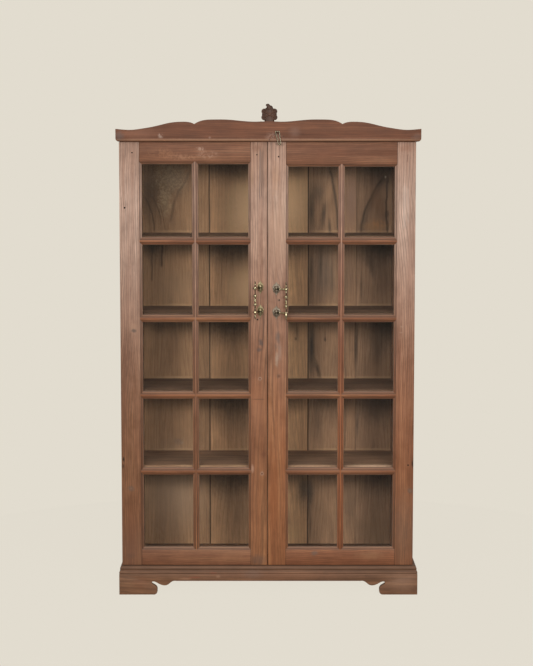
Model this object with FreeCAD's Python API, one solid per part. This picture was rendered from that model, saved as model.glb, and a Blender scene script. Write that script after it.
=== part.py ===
import FreeCAD, Part
import math
import os

# A tall teak cabinet with two glazed doors, each of two columns of five panes.
# The doors lie in front of the carcass, between a scrolled cornice above and a
# footed base below, and turn on iron pivots let into the boards above and below.
# X is to the right, Y to the back and Z up, all in millimetres. The model is drawn
# about the middle of the carcass, with Y zero at the front face of the doors, and
# is moved at the end so that the origin lies on the floor under its middle.

V = FreeCAD.Vector
LEFT = -1
RIGHT = 1

# General
overrun = 10.0
joint_clearance = 0.15
seat_clearance = 0.3
turning_clearance = 0.05

# Carcass
carcass_width = 1190.0
carcass_height = 1727.0
carcass_depth = 389.0
post_width = 65.0
post_depth = 45.0
side_rail_thickness = 28.0
side_bottom_rail_height = 80.0
side_middle_rail_height = 80.0
side_top_rail_height = 80.0
side_middle_rail_share = 0.5
side_panel_thickness = 12.0
panel_groove_depth = 8.0
frame_tenon_thickness = 10.0
frame_tenon_length = 30.0
frame_tenon_shoulder = 12.0
front_rail_depth = 26.0
front_top_rail_height = 60.0
front_bottom_rail_height = 40.0
rear_rail_depth = 26.0
rear_rail_height = 60.0
board_thickness = 22.0
board_side_setback = 3.0

# Shelves
shelf_thickness = 20.0
shelf_rise = 19.0
shelf_front_setback = 4.0
cleat_width = 20.0
cleat_height = 20.0

# Back boards
back_board_thickness = 14.0
back_rabbet = 15.0
back_joint_gap = 0.6
back_joint_shares = (0.273, 0.467, 0.660, 0.848)

# Cornice
cornice_thickness = 22.0
front_overhang = 18.0
left_overhang = 12.0
right_overhang = 19.0
cornice_height = 88.5
cornice_return_height = 48.0
cornice_edge_radius = 9.0
cornice_end_radius = 13.0
cornice_middle_flat_width = 60.0
# Each point is a share of the half length from the middle and of the height.
cornice_inner_shares = ((0.14, 0.905), (0.27, 0.985), (0.35, 0.99), (0.43, 0.95))
cornice_notch_shares = (0.484, 0.79)
cornice_outer_shares = (
    (0.51, 0.86), (0.565, 0.89), (0.64, 0.85), (0.74, 0.69), (0.83, 0.58), (0.90, 0.525),
    (0.955, 0.54))
cornice_end_share = 0.57

# Finial
finial_thickness = 20.0
finial_offset = 7.5
finial_lobe_radius = 12.0
finial_lobe_spread = 19.5
finial_lower_lobe_height = 18.0
finial_upper_lobe_height = 41.0
finial_heart_radius = 27.5
finial_heart_height = 30.0
finial_bud_radius = 9.5
finial_bud_offset = 4.0
finial_bud_height = 61.0
finial_neck_width = 38.0
finial_neck_height = 20.0
finial_tongue_width = 24.0
finial_tongue_thickness = 8.0
finial_tongue_depth = 25.0

# Base
base_height = 118.0
base_thickness = 18.0
apron_clearance = 57.0
front_foot_width = 156.0
side_foot_width = 122.0
rear_foot_width = 120.0
base_scroll_length = 76.0
moulding_run_inset = 10.0
moulding_run_height = 33.0
# Each point is a share of the inset from the outer face and of the height from the top.
reed_shares = (
    ((1.0, 0.0), (0.52, 0.14), (0.40, 0.46)),
    ((0.44, 0.60), (0.16, 0.68), (0.02, 0.88)))
groove_shares = ((0.62, 0.52), (0.25, 0.94))
# Each point is a share of the scroll's length from the foot's toe and of the apron clearance.
foot_toe_radius = 14.0
foot_toe_share = 0.42
notch_lower_shares = ((-0.07, 0.62), (-0.19, 0.73), (-0.32, 0.84))
notch_upper_shares = (
    (-0.29, 0.935), (-0.18, 0.955), (-0.04, 0.885), (0.12, 0.765), (0.28, 0.69), (0.43, 0.675),
    (0.57, 0.735), (0.68, 0.85), (0.79, 0.955))
corner_block_size = 40.0
corner_block_floor_gap = 8.0

# Doors
door_thickness = 26.0
door_back_gap = 2.0
door_end_gap = 2.0
door_seam_width = 2.5
left_outer_stile_width = 90.0
left_inner_stile_width = 76.5
left_top_rail_height = 88.0
right_outer_stile_width = 84.0
right_inner_stile_width = 83.0
right_top_rail_height = 98.0
bottom_rail_height = 74.0
bar_count = 4
lowest_bar_height = 388.0
top_bar_drop = 396.0
cross_bar_height = 30.0
vertical_bar_width = 26.0
moulding_width = 10.5
moulding_depth = 9.0
moulding_step_depth = 1.6
moulding_flat_width = 1.2
moulding_round_share = 0.19
door_tenon_thickness = 8.0
door_tenon_length = 50.0
door_tenon_shoulder = 10.0
bar_tenon_width = 8.0
bar_tenon_length = 14.0

# Glazing
glass_setback = 12.0
glass_thickness = 3.0
glazing_clearance = 0.3
rebate_width = 8.0
bead_depth = 9.0

# Door pivots
pivot_radius = 4.0
pivot_in_door = 30.0
pivot_in_board = 14.0
pivot_collar_radius = 9.0

# Handles
left_handle_place = 29.0
left_handle_height = 1212.5
left_handle_rest_angle = 29.0
right_handle_place = 36.0
right_handle_height = 1207.0
right_handle_rest_angle = 68.0
handle_plate_pitch = 96.0
handle_plate_width = 34.0
handle_plate_height = 54.0
handle_plate_thickness = 3.0
handle_plate_shares = ((0.0, 0.5), (0.24, 0.32), (0.5, 0.16), (0.44, -0.11), (0.22, -0.34), (0.0, -0.5))
handle_shank_radius = 3.0
handle_shank_length = 16.0
handle_pin_height = 14.0
handle_pin_radius = 2.0
handle_pin_head_radius = 3.2
handle_pin_head_thickness = 1.5
handle_lug_radius = 6.0
handle_lug_thickness = 9.0
handle_eye_radius = 5.5
handle_eye_thickness = 5.4
handle_arm_length = 42.0
handle_arm_radius = 2.6
handle_rod_radius = 3.2
handle_length = 152.0
handle_tip_length = 9.0
handle_end_ball_radius = 7.5
handle_ball_radius = 7.3
handle_ball_pitch = 34.0
handle_barrel_radius = 6.0
handle_barrel_length = 10.0
handle_bead_radius = 4.2
handle_bead_place = 64.0

# Hasp
hasp_place = 48.5
hasp_eye_drop = 9.0
hasp_stand_off = 22.0
hasp_wire_radius = 1.75
hasp_length = 51.0
hasp_lean_width = 9.5
hasp_top_width = 19.0
hasp_foot_width = 13.0
hasp_eye_wire_radius = 1.6
hasp_eye_clearance = 0.3
hasp_eye_depth = 8.0
hasp_staple_radius = 2.0
hasp_staple_reach = 16.0
hasp_staple_depth = 14.0
hasp_staple_gap = 2.0

# Derived levels and faces
half_width = carcass_width / 2.0
base_top = base_height
soffit = base_top + carcass_height
carcass_front = door_thickness + door_back_gap
carcass_back = carcass_front + carcass_depth
back_face = carcass_back - back_board_thickness
board_half = half_width - board_side_setback
post_inner = half_width - post_width
rail_inner = half_width - side_rail_thickness
door_bottom = base_top + door_end_gap
door_top = soffit - door_end_gap
door_width = half_width - door_seam_width / 2.0
bar_pitch = (door_top - top_bar_drop - door_bottom - lowest_bar_height) / (bar_count - 1)
cornice_back = cornice_thickness - front_overhang
base_back = base_thickness - front_overhang
pivot_inset = door_thickness / 2.0
handle_slot = handle_eye_thickness + 2.0 * seat_clearance


def box(x_range, y_range, z_range):
    """A block between two places on each axis, given in any order."""
    low = [min(pair) for pair in (x_range, y_range, z_range)]
    high = [max(pair) for pair in (x_range, y_range, z_range)]
    size = [b - a for a, b in zip(low, high)]
    return Part.makeBox(size[0], size[1], size[2], V(*low))


def rod(radius, start, end):
    """A round bar from one point to another."""
    line = end.sub(start)
    return Part.makeCylinder(radius, line.Length, start, line)


def ball(radius, centre):
    return Part.makeSphere(radius, centre)


def prism(edges, travel):
    """A closed outline pushed along a vector."""
    return Part.Face(Part.Wire(edges)).extrude(travel)


def polygon_prism(points, travel):
    return Part.Face(Part.makePolygon(points + points[:1])).extrude(travel)


def spline(points):
    curve = Part.BSplineCurve()
    curve.interpolate(points)
    return curve.toShape()


def line(start, end):
    return Part.LineSegment(start, end).toShape()


def arc(start, middle, end):
    return Part.Arc(start, middle, end).toShape()


def quarter(start, corner, end):
    """A round that replaces a square corner, from one tangent point to the other."""
    centre = start.add(end).sub(corner)
    middle = centre.add(corner.sub(centre).normalize().multiply(start.distanceToPoint(centre)))
    return arc(start, middle, end)


# Carcass


def side_rails(side):
    """Top, middle and bottom rails of one side, tenoned into the posts."""
    rails = []
    for low, high in side_rail_levels():
        rail = box((side * rail_inner, side * half_width),
                   (carcass_front + post_depth, carcass_back - post_depth), (low, high))
        tenon = side_tenon(side, low, high, 0.0)
        rail = rail.fuse(tenon)
        rails.append(rail.cut(side_panel_space(side, joint_clearance)))
    return Part.makeCompound(rails)


def side_rail_levels():
    middle = base_top + side_middle_rail_share * carcass_height
    return ((base_top, base_top + side_bottom_rail_height),
            (middle - side_middle_rail_height / 2.0, middle + side_middle_rail_height / 2.0),
            (soffit - side_top_rail_height, soffit))


def side_tenon(side, low, high, grow):
    """The tongue that runs past both ends of a side rail, or its mortises when grown."""
    middle = side * (half_width - side_rail_thickness / 2.0)
    half = frame_tenon_thickness / 2.0 + grow
    return box((middle - half, middle + half),
               (carcass_front + post_depth - frame_tenon_length - grow,
                carcass_back - post_depth + frame_tenon_length + grow),
               (low + frame_tenon_shoulder - grow, high - frame_tenon_shoulder + grow))


def side_panel_boxes(side, grow):
    middle = side * (half_width - side_rail_thickness / 2.0)
    half = side_panel_thickness / 2.0 + grow
    reach = panel_groove_depth - joint_clearance + grow
    levels = side_rail_levels()
    panels = []
    for lower, upper in zip(levels[:-1], levels[1:]):
        panels.append(box((middle - half, middle + half),
                          (carcass_front + post_depth - reach, carcass_back - post_depth + reach),
                          (lower[1] - reach, upper[0] + reach)))
    return panels


def side_panels(side):
    return Part.makeCompound(side_panel_boxes(side, 0.0))


def side_panel_space(side, grow):
    return Part.makeCompound(side_panel_boxes(side, grow))


def post_tools(side):
    """What is cut from both posts of one side for its rails and panels."""
    tools = [side_panel_space(side, joint_clearance)]
    for low, high in side_rail_levels():
        tools.append(side_tenon(side, low, high, joint_clearance))
    return tools


def front_post(side):
    post = box((side * post_inner, side * half_width),
               (carcass_front, carcass_front + post_depth), (base_top, soffit))
    tools = post_tools(side) + [front_rail_tenon(low, high, joint_clearance)
                                for low, high in front_rail_levels()]
    return post.cut(tools)


def rear_post(side):
    post = box((side * post_inner, side * half_width),
               (carcass_back - post_depth, carcass_back), (base_top, soffit))
    rabbet = box((side * (post_inner - overrun), side * (post_inner + back_rabbet)),
                 (back_face, carcass_back + overrun), (base_top - overrun, soffit + overrun))
    return post.cut(post_tools(side) + [rabbet, rear_rail_tenon(joint_clearance)])


def front_rail_levels():
    return ((base_top, base_top + front_bottom_rail_height),
            (soffit - front_top_rail_height, soffit))


def cross_tenon(y_middle, low, high, grow):
    half = frame_tenon_thickness / 2.0 + grow
    reach = post_inner + frame_tenon_length + grow
    return box((-reach, reach), (y_middle - half, y_middle + half),
               (low + frame_tenon_shoulder - grow, high - frame_tenon_shoulder + grow))


def front_rail_tenon(low, high, grow):
    return cross_tenon(carcass_front + front_rail_depth / 2.0, low, high, grow)


def rear_rail_tenon(grow):
    return cross_tenon(back_face - rear_rail_depth / 2.0, soffit - rear_rail_height, soffit, grow)


def front_rails():
    """The rails behind the doors, which stop them at the top and the bottom."""
    rails = []
    for low, high in front_rail_levels():
        rail = box((-post_inner, post_inner),
                   (carcass_front, carcass_front + front_rail_depth), (low, high))
        rails.append(rail.fuse(front_rail_tenon(low, high, 0.0)))
    return Part.makeCompound(rails)


def rear_rail():
    rail = box((-post_inner, post_inner), (back_face - rear_rail_depth, back_face),
               (soffit - rear_rail_height, soffit))
    return rail.fuse(rear_rail_tenon(0.0))


def pivot_axis_x(side):
    return side * (half_width - pivot_inset)


def pivot_bores(low, high):
    """Bores for both doors' pivots between two levels."""
    return [rod(pivot_radius + turning_clearance,
                V(pivot_axis_x(side), pivot_inset, low), V(pivot_axis_x(side), pivot_inset, high))
            for side in (LEFT, RIGHT)]


def bottom_board():
    board = box((-board_half, board_half), (base_back, carcass_back),
                (base_top - board_thickness, base_top))
    return board.cut(pivot_bores(base_top - pivot_in_board, base_top + overrun))


def top_board():
    board = box((-board_half, board_half), (cornice_back, carcass_back),
                (soffit, soffit + board_thickness))
    return board.cut(pivot_bores(soffit - overrun, soffit + pivot_in_board))


def shelf_top(index):
    return door_bottom + lowest_bar_height + index * bar_pitch + shelf_rise


def shelf(index):
    """One shelf, notched round the four posts."""
    top = shelf_top(index)
    levels = (top - shelf_thickness, top)
    reach = rail_inner - joint_clearance
    notch_inner = post_inner - joint_clearance
    front = carcass_front + shelf_front_setback
    board = box((-reach, reach), (front, back_face), levels)
    tall = (levels[0] - overrun, levels[1] + overrun)
    notches = []
    for side in (LEFT, RIGHT):
        across = (side * notch_inner, side * half_width)
        notches.append(box(across, (front - overrun, carcass_front + post_depth + joint_clearance), tall))
        notches.append(box(across, (carcass_back - post_depth - joint_clearance, carcass_back), tall))
    return board.cut(notches)


def shelf_cleats():
    """Battens between the posts that carry the ends of the shelves."""
    cleats = []
    for index in range(bar_count):
        top = shelf_top(index) - shelf_thickness
        for side in (LEFT, RIGHT):
            cleats.append(box((side * (rail_inner - cleat_width), side * rail_inner),
                              (carcass_front + post_depth, carcass_back - post_depth),
                              (top - cleat_height, top)))
    return Part.makeCompound(cleats)


def back_board(index):
    """One of the upright boards of the back, in the rabbets of the rear posts."""
    half = post_inner + back_rabbet - joint_clearance
    edges = [-half] + [half * (2.0 * share - 1.0) for share in back_joint_shares] + [half]
    left = edges[index] + (back_joint_gap / 2.0 if index > 0 else 0.0)
    right = edges[index + 1] - (back_joint_gap / 2.0 if index < len(back_joint_shares) else 0.0)
    return box((left, right), (back_face, carcass_back), (base_top, soffit))


# Cornice


def cornice_outline():
    """Outline of the front board from its middle, seen from the front."""
    half = (carcass_width + left_overhang + right_overhang) / 2.0
    middle = (right_overhang - left_overhang) / 2.0

    def at(side, point):
        return V(middle + side * point[0] * half, 0.0, soffit + point[1] * cornice_height)

    flat = cornice_middle_flat_width / 2.0 / half
    flat_height = (finial_seat() - soffit) / cornice_height
    edges = []
    corners = {}
    for side in (LEFT, RIGHT):
        inner = [at(side, (flat, flat_height))]
        inner += [at(side, point) for point in cornice_inner_shares]
        inner.append(at(side, cornice_notch_shares))
        outer = [at(side, cornice_notch_shares)]
        outer += [at(side, point) for point in cornice_outer_shares]
        outer.append(at(side, (1.0, cornice_end_share)))
        end = V(middle + side * half, 0.0, soffit)
        upper = end.add(V(0.0, 0.0, cornice_end_radius))
        lower = end.add(V(-side * cornice_end_radius, 0.0, 0.0))
        edges += [spline(inner), spline(outer), line(outer[-1], upper), quarter(upper, end, lower)]
        corners[side] = (inner[0], lower)
    edges.append(line(corners[LEFT][0], corners[RIGHT][0]))
    edges.append(line(corners[LEFT][1], corners[RIGHT][1]))
    return edges


def cornice_blank():
    travel = V(0.0, cornice_thickness, 0.0)
    wires = Part.Wire(Part.__sortEdges__(cornice_outline()))
    board = Part.Face(wires).extrude(travel)
    board.translate(V(0.0, -front_overhang, 0.0))
    return board


def rounded_lower_edge(length_range):
    """A long block with its lower front edge rounded, as tall as the cornice."""
    radius = cornice_edge_radius
    x_low, x_high = length_range
    corner = V(x_low, -front_overhang, soffit)
    top = soffit + 2.0 * cornice_height
    start = corner.add(V(0.0, 0.0, radius))
    end = corner.add(V(0.0, radius, 0.0))
    edges = [line(V(x_low, -front_overhang, top), start), quarter(start, corner, end),
             line(end, V(x_low, cornice_back, soffit)),
             line(V(x_low, cornice_back, soffit), V(x_low, cornice_back, top)),
             line(V(x_low, cornice_back, top), V(x_low, -front_overhang, top))]
    return prism(edges, V(x_high - x_low, 0.0, 0.0))


def cornice_front():
    """The scrolled board above the doors, with holes for the finial and the staple."""
    reach = carcass_width
    board = cornice_blank().common(rounded_lower_edge((-reach, reach)))
    staple_hole = rod(hasp_staple_radius + turning_clearance,
                      V(hasp_top_x(), -front_overhang - overrun, hasp_staple_level()),
                      V(hasp_top_x(), hasp_staple_depth - front_overhang, hasp_staple_level()))
    return board.cut([staple_hole, finial_tongue(joint_clearance)])


def cornice_returns():
    """The boards that carry the cornice back along both sides."""
    returns = []
    for side, overhang in ((LEFT, left_overhang), (RIGHT, right_overhang)):
        outer = side * (half_width + overhang)
        radius = cornice_end_radius
        y_front = cornice_back
        corner = V(outer, y_front, soffit)
        start = corner.add(V(0.0, 0.0, radius))
        end = corner.add(V(-side * radius, 0.0, 0.0))
        top = soffit + cornice_return_height
        inner_low = V(side * board_half, y_front, soffit)
        inner_high = V(side * board_half, y_front, top)
        outer_high = V(outer, y_front, top)
        edges = [line(outer_high, start), quarter(start, corner, end), line(end, inner_low),
                 line(inner_low, inner_high), line(inner_high, outer_high)]
        returns.append(prism(edges, V(0.0, carcass_back - y_front, 0.0)))
    return Part.makeCompound(returns)


def finial_seat():
    """Level of the flat in the middle of the cornice, on which the finial stands."""
    half = (carcass_width + left_overhang + right_overhang) / 2.0
    flat = cornice_middle_flat_width / 2.0 / half
    first, second = cornice_inner_shares[:2]
    return soffit + (first[1] - (second[1] - first[1]) * flat) * cornice_height


def finial_tongue(grow):
    half = finial_tongue_width / 2.0 + grow
    middle = -front_overhang + cornice_thickness / 2.0
    thick = finial_tongue_thickness / 2.0 + grow
    return box((finial_offset - half, finial_offset + half), (middle - thick, middle + thick),
               (finial_seat() - finial_tongue_depth - grow, finial_seat() + finial_lobe_radius))


def finial():
    """A five-lobed flower on a short neck, tongued into the cornice."""
    seat = finial_seat()
    front = -front_overhang + (cornice_thickness - finial_thickness) / 2.0

    def disc(radius, across, height):
        centre = V(finial_offset + across, front, seat + height)
        return Part.makeCylinder(radius, finial_thickness, centre, V(0.0, 1.0, 0.0))

    half_neck = finial_neck_width / 2.0
    pieces = [disc(finial_heart_radius, 0.0, finial_heart_height),
              disc(finial_bud_radius, -finial_bud_offset, finial_bud_height),
              finial_tongue(0.0)]
    for side in (LEFT, RIGHT):
        pieces.append(disc(finial_lobe_radius, side * finial_lobe_spread, finial_lower_lobe_height))
        pieces.append(disc(finial_lobe_radius, side * finial_lobe_spread, finial_upper_lobe_height))
    neck = box((finial_offset - half_neck, finial_offset + half_neck),
               (front, front + finial_thickness), (seat, seat + finial_neck_height))
    return neck.multiFuse(pieces).removeSplitter()


# Base


def moulding_edges(place):
    """Two reeds and their grooves, from the top edge of a base board down to its face."""
    def at(point):
        return place(point[0] * moulding_run_inset, point[1] * moulding_run_height)

    upper = [at(point) for point in reed_shares[0]]
    lower = [at(point) for point in reed_shares[1]]
    first_groove, second_groove = [at(point) for point in groove_shares]
    face = place(0.0, moulding_run_height)
    return [arc(*upper), line(upper[2], first_groove), line(first_groove, lower[0]), arc(*lower),
            line(lower[2], second_groove), line(second_groove, face)], upper[0], face


def foot_edges(at, foot_width):
    """Lower edge from a foot's heel over the scroll to the apron, in the board's plane."""
    toe = foot_width

    def scroll(point):
        return at(toe + point[0] * base_scroll_length, point[1] * apron_clearance)

    sole_end = at(toe - foot_toe_radius, 0.0)
    toe_low = at(toe, foot_toe_radius)
    toe_high = at(toe, foot_toe_share * apron_clearance)
    lower = [toe_high] + [scroll(point) for point in notch_lower_shares]
    upper = [scroll(point) for point in notch_upper_shares] + [scroll((1.0, 1.0))]
    return [line(at(0.0, 0.0), sole_end), quarter(sole_end, at(toe, 0.0), toe_low),
            line(toe_low, toe_high), spline(lower), line(lower[-1], upper[0]), spline(upper)], upper[-1]


def base_front():
    """The front board: reeded along its top, and cut below into two feet and an apron."""
    ends = {LEFT: -half_width - left_overhang, RIGHT: half_width + right_overhang}
    front = -front_overhang
    edges = []
    tops = {}
    aprons = {}
    for side in (LEFT, RIGHT):
        def end_place(inward, down, side=side):
            return V(ends[side] - side * inward, front, base_top - down)

        def foot_place(along, up, side=side):
            return V(ends[side] - side * along, front, up)

        reeds, tops[side], face = moulding_edges(end_place)
        foot, aprons[side] = foot_edges(foot_place, front_foot_width)
        edges += reeds + foot + [line(face, foot_place(0.0, 0.0))]
    edges += [line(tops[LEFT], tops[RIGHT]), line(aprons[LEFT], aprons[RIGHT])]
    outline = Part.Face(Part.Wire(Part.__sortEdges__(edges))).extrude(V(0.0, base_thickness, 0.0))

    def front_place(inward, down):
        return V(ends[LEFT] - overrun, front + inward, base_top - down)

    reeds, top, face = moulding_edges(front_place)
    back_top = V(ends[LEFT] - overrun, base_back, base_top)
    back_foot = V(ends[LEFT] - overrun, base_back, -overrun)
    front_foot = V(ends[LEFT] - overrun, front, -overrun)
    section = reeds + [line(top, back_top), line(back_top, back_foot), line(back_foot, front_foot),
                       line(front_foot, face)]
    length = ends[RIGHT] - ends[LEFT] + 2.0 * overrun
    run = Part.Face(Part.Wire(Part.__sortEdges__(section))).extrude(V(length, 0.0, 0.0))
    return outline.common(run)


def base_side(side):
    """A side board, reeded like the front and cut into a front and a rear foot."""
    outer = side * (half_width + (left_overhang if side == LEFT else right_overhang))
    inner = side * board_half

    def section_place(inward, down):
        return V(outer - side * inward, base_back, base_top - down)

    reeds, top, face = moulding_edges(section_place)
    inner_top = V(inner, base_back, base_top)
    inner_foot = V(inner, base_back, 0.0)
    outer_foot = V(outer, base_back, 0.0)
    section = reeds + [line(top, inner_top), line(inner_top, inner_foot),
                       line(inner_foot, outer_foot), line(outer_foot, face)]
    run = Part.Face(Part.Wire(Part.__sortEdges__(section))).extrude(V(0.0, carcass_back - base_back, 0.0))
    x_start = min(outer, inner) - overrun
    edges = []
    aprons = []
    for end, inward in ((base_back, 1.0), (carcass_back, -1.0)):
        def foot_place(along, up, end=end, inward=inward):
            return V(x_start, end + inward * along, up)

        foot, apron = foot_edges(foot_place, side_foot_width)
        aprons.append(apron)
        edges += foot + [line(foot_place(0.0, 0.0), V(x_start, end, base_top))]
    edges += [line(aprons[0], aprons[1]),
              line(V(x_start, base_back, base_top), V(x_start, carcass_back, base_top))]
    reach = V(abs(outer - inner) + 2.0 * overrun, 0.0, 0.0)
    outline = Part.Face(Part.Wire(Part.__sortEdges__(edges))).extrude(reach)
    return run.common(outline)


def base_rear():
    """The plain board under the rear edge of the bottom board."""
    board = box((-board_half, board_half), (carcass_back - base_thickness, carcass_back),
                (0.0, base_top - board_thickness))
    gap_half = board_half - rear_foot_width
    gap = box((-gap_half, gap_half), (carcass_back - base_thickness - overrun, carcass_back + overrun),
              (-overrun, apron_clearance))
    return board.cut(gap)


def base_corner_blocks():
    blocks = []
    for side in (LEFT, RIGHT):
        across = (side * (board_half - corner_block_size), side * board_half)
        up = (corner_block_floor_gap, base_top - board_thickness)
        rear = carcass_back - base_thickness
        blocks.append(box(across, (base_back, base_back + corner_block_size), up))
        blocks.append(box(across, (rear - corner_block_size, rear), up))
    return Part.makeCompound(blocks)


# Doors


def moulded_slot(limits, across, start, travel):
    """A slot in the door's face with a moulded edge on both sides: a step, a narrow flat and a round.

    Limits are the slot's sides at the foot of the moulding, measured along across.
    """
    rounded = moulding_width - moulding_flat_width
    fall = moulding_depth - moulding_step_depth
    chord = math.hypot(rounded, fall)
    bulge = moulding_round_share * chord
    middle = (-0.5 * rounded + bulge * fall / chord,
              0.5 * (moulding_step_depth + moulding_depth) - bulge * rounded / chord)

    def side(limit, outward):
        section = ((-moulding_width, -overrun), (-moulding_width, moulding_step_depth),
                   (-rounded, moulding_step_depth), middle, (0.0, moulding_depth))
        return [start.add(V(across).multiply(limit - outward * inset)).add(V(0.0, deep, 0.0))
                for inset, deep in section]

    low = side(limits[0], -1.0)
    high = side(limits[1], 1.0)
    return prism([line(low[0], low[1]), line(low[1], low[2]), arc(low[2], low[3], low[4]),
                  line(low[4], high[4]), arc(high[4], high[3], high[2]), line(high[2], high[1]),
                  line(high[1], high[0]), line(high[0], low[0])], travel)


class Door:
    """Places on one door: u runs from its outer edge to the seam."""

    def __init__(self, side, outer_stile, inner_stile, top_rail):
        self.side = side
        self.sight_outer = outer_stile
        self.sight_inner = door_width - inner_stile
        self.outer_flat = outer_stile - moulding_width
        self.inner_flat = door_width - inner_stile + moulding_width
        self.sight_top = door_top - top_rail
        self.bar_u = (self.sight_outer + self.sight_inner) / 2.0
        half_bar = vertical_bar_width / 2.0
        self.columns = ((self.sight_outer, self.bar_u - half_bar),
                        (self.bar_u + half_bar, self.sight_inner))
        self.rows = self.row_levels()

    def row_levels(self):
        half = cross_bar_height / 2.0
        levels = [door_bottom + bottom_rail_height]
        for index in range(bar_count):
            bar = door_bottom + lowest_bar_height + index * bar_pitch
            levels += [bar - half, bar + half]
        levels.append(self.sight_top)
        return list(zip(levels[0::2], levels[1::2]))

    def x(self, u):
        return self.side * (half_width - u)

    def box(self, u_range, y_range, z_range):
        return box((self.x(u_range[0]), self.x(u_range[1])), y_range, z_range)

    def region(self, points):
        """A prism through the door's thickness over an outline of (u, z) points."""
        corners = [V(self.x(u), -overrun, z) for u, z in points]
        return polygon_prism(corners, V(0.0, door_thickness + 2.0 * overrun, 0.0))

    def slab(self):
        """The whole door with its ten moulded and rebated openings."""
        slab = self.box((0.0, door_width), (0.0, door_thickness), (door_bottom, door_top))
        tools = []
        for u_range in self.columns:
            for z_range in self.rows:
                tools += self.opening_tools(u_range, z_range)
        return slab.cut(tools)

    def opening_tools(self, u_range, z_range):
        x_range = tuple(sorted((self.x(u_range[0]), self.x(u_range[1]))))
        reach = moulding_width + overrun
        start = V(x_range[0] - reach, 0.0, z_range[0] - reach)
        upright = moulded_slot(x_range, V(1.0, 0.0, 0.0), V(0.0, 0.0, start.z),
                               V(0.0, 0.0, z_range[1] - z_range[0] + 2.0 * reach))
        level = moulded_slot(z_range, V(0.0, 0.0, 1.0), V(start.x, 0.0, 0.0),
                             V(x_range[1] - x_range[0] + 2.0 * reach, 0.0, 0.0))
        sight = box(x_range, (-overrun, door_thickness + overrun), z_range)
        rebate = box((x_range[0] - rebate_width, x_range[1] + rebate_width),
                     (glass_setback, door_thickness + overrun),
                     (z_range[0] - rebate_width, z_range[1] + rebate_width))
        return [upright.common(level), sight, rebate]

    def stile_region(self, edge, flat, sight):
        """A stile with the mouldings beside its panes, mitred at every rail and bar."""
        points = [(edge, door_bottom), (flat, door_bottom)]
        for low, high in self.rows:
            points += [(flat, low - moulding_width), (sight, low), (sight, high),
                       (flat, high + moulding_width)]
        return self.region(points + [(flat, door_top), (edge, door_top)])

    def rail_region(self, edge, sight, outward):
        """A top or bottom rail; outward is 1 for the top rail and -1 for the bottom."""
        flat = sight + outward * moulding_width
        points = [(self.outer_flat, edge)]
        for low, high in self.columns:
            points += [(low - moulding_width, flat), (low, sight), (high, sight),
                       (high + moulding_width, flat)]
        return self.region(points + [(self.inner_flat, edge)])

    def vertical_bar_region(self):
        half = vertical_bar_width / 2.0
        ridge = half - moulding_width
        rising = []
        for low, high in self.rows:
            rising += [(ridge, low - moulding_width), (half, low), (half, high),
                       (ridge, high + moulding_width)]
        points = [(self.bar_u + across, z) for across, z in rising]
        points += [(self.bar_u - across, z) for across, z in reversed(rising)]
        return self.region(points)

    def cross_bar_region(self, column, lower, upper):
        left, right = column
        m = moulding_width
        return self.region([(left - m, lower + m), (left, lower), (right, lower), (right + m, lower + m),
                            (right + m, upper - m), (right, upper), (left, upper), (left - m, upper - m)])

    def rail_tenons(self, grow):
        """Tongues of both rails at both stiles, or their mortises when grown."""
        middle = door_thickness / 2.0
        half = door_tenon_thickness / 2.0 + grow
        shoulder = door_tenon_shoulder - grow
        reach = door_tenon_length + grow
        levels = ((door_bottom + shoulder, self.rows[0][0] - moulding_width - shoulder),
                  (self.sight_top + moulding_width + shoulder, door_top - shoulder))
        return [self.box((self.outer_flat - reach, self.inner_flat + reach),
                         (middle - half, middle + half), z_range) for z_range in levels]

    def bar_tenon(self, grow):
        middle = door_thickness / 2.0
        half = door_tenon_thickness / 2.0 + grow
        across = bar_tenon_width / 2.0 + grow
        reach = moulding_width + bar_tenon_length + grow
        return self.box((self.bar_u - across, self.bar_u + across), (middle - half, middle + half),
                        (self.rows[0][0] - reach, self.sight_top + reach))

    def rounded_back_corner(self):
        """What is cut from the outer stile so that its back corner clears the post."""
        tall = (door_bottom - overrun, door_top + overrun)
        corner = self.box((-overrun, pivot_inset),
                          (door_thickness - pivot_inset, door_thickness + overrun), tall)
        axis = V(pivot_axis_x(self.side), pivot_inset, tall[0])
        return corner.cut(Part.makeCylinder(pivot_inset, tall[1] - tall[0], axis))

    def outer_stile(self, slab):
        stile = slab.common(self.stile_region(0.0, self.outer_flat, self.sight_outer))
        bore = pivot_radius + turning_clearance
        axis_x = pivot_axis_x(self.side)
        tools = self.rail_tenons(joint_clearance) + [self.rounded_back_corner()]
        for level, inward in ((door_bottom, 1.0), (door_top, -1.0)):
            tools.append(rod(bore, V(axis_x, pivot_inset, level - inward * overrun),
                             V(axis_x, pivot_inset, level + inward * pivot_in_door)))
        return stile.cut(tools)

    def inner_stile(self, slab):
        stile = slab.common(self.stile_region(door_width, self.inner_flat, self.sight_inner))
        tools = self.rail_tenons(joint_clearance) + [plate_shank(self.side, z, joint_clearance)
                                                    for z in plate_levels(self.side)]
        if self.side == RIGHT:
            tools.append(hasp_eye_shank(turning_clearance))
        return stile.cut(tools)

    def rail(self, slab, edge, sight, outward, tenon_index):
        rail = slab.common(self.rail_region(edge, sight, outward))
        rail = rail.fuse(self.rail_tenons(0.0)[tenon_index])
        return rail.cut(self.bar_tenon(joint_clearance))

    def top_rail(self, slab):
        return self.rail(slab, door_top, self.sight_top, 1.0, 1)

    def bottom_rail(self, slab):
        return self.rail(slab, door_bottom, self.rows[0][0], -1.0, 0)

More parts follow.
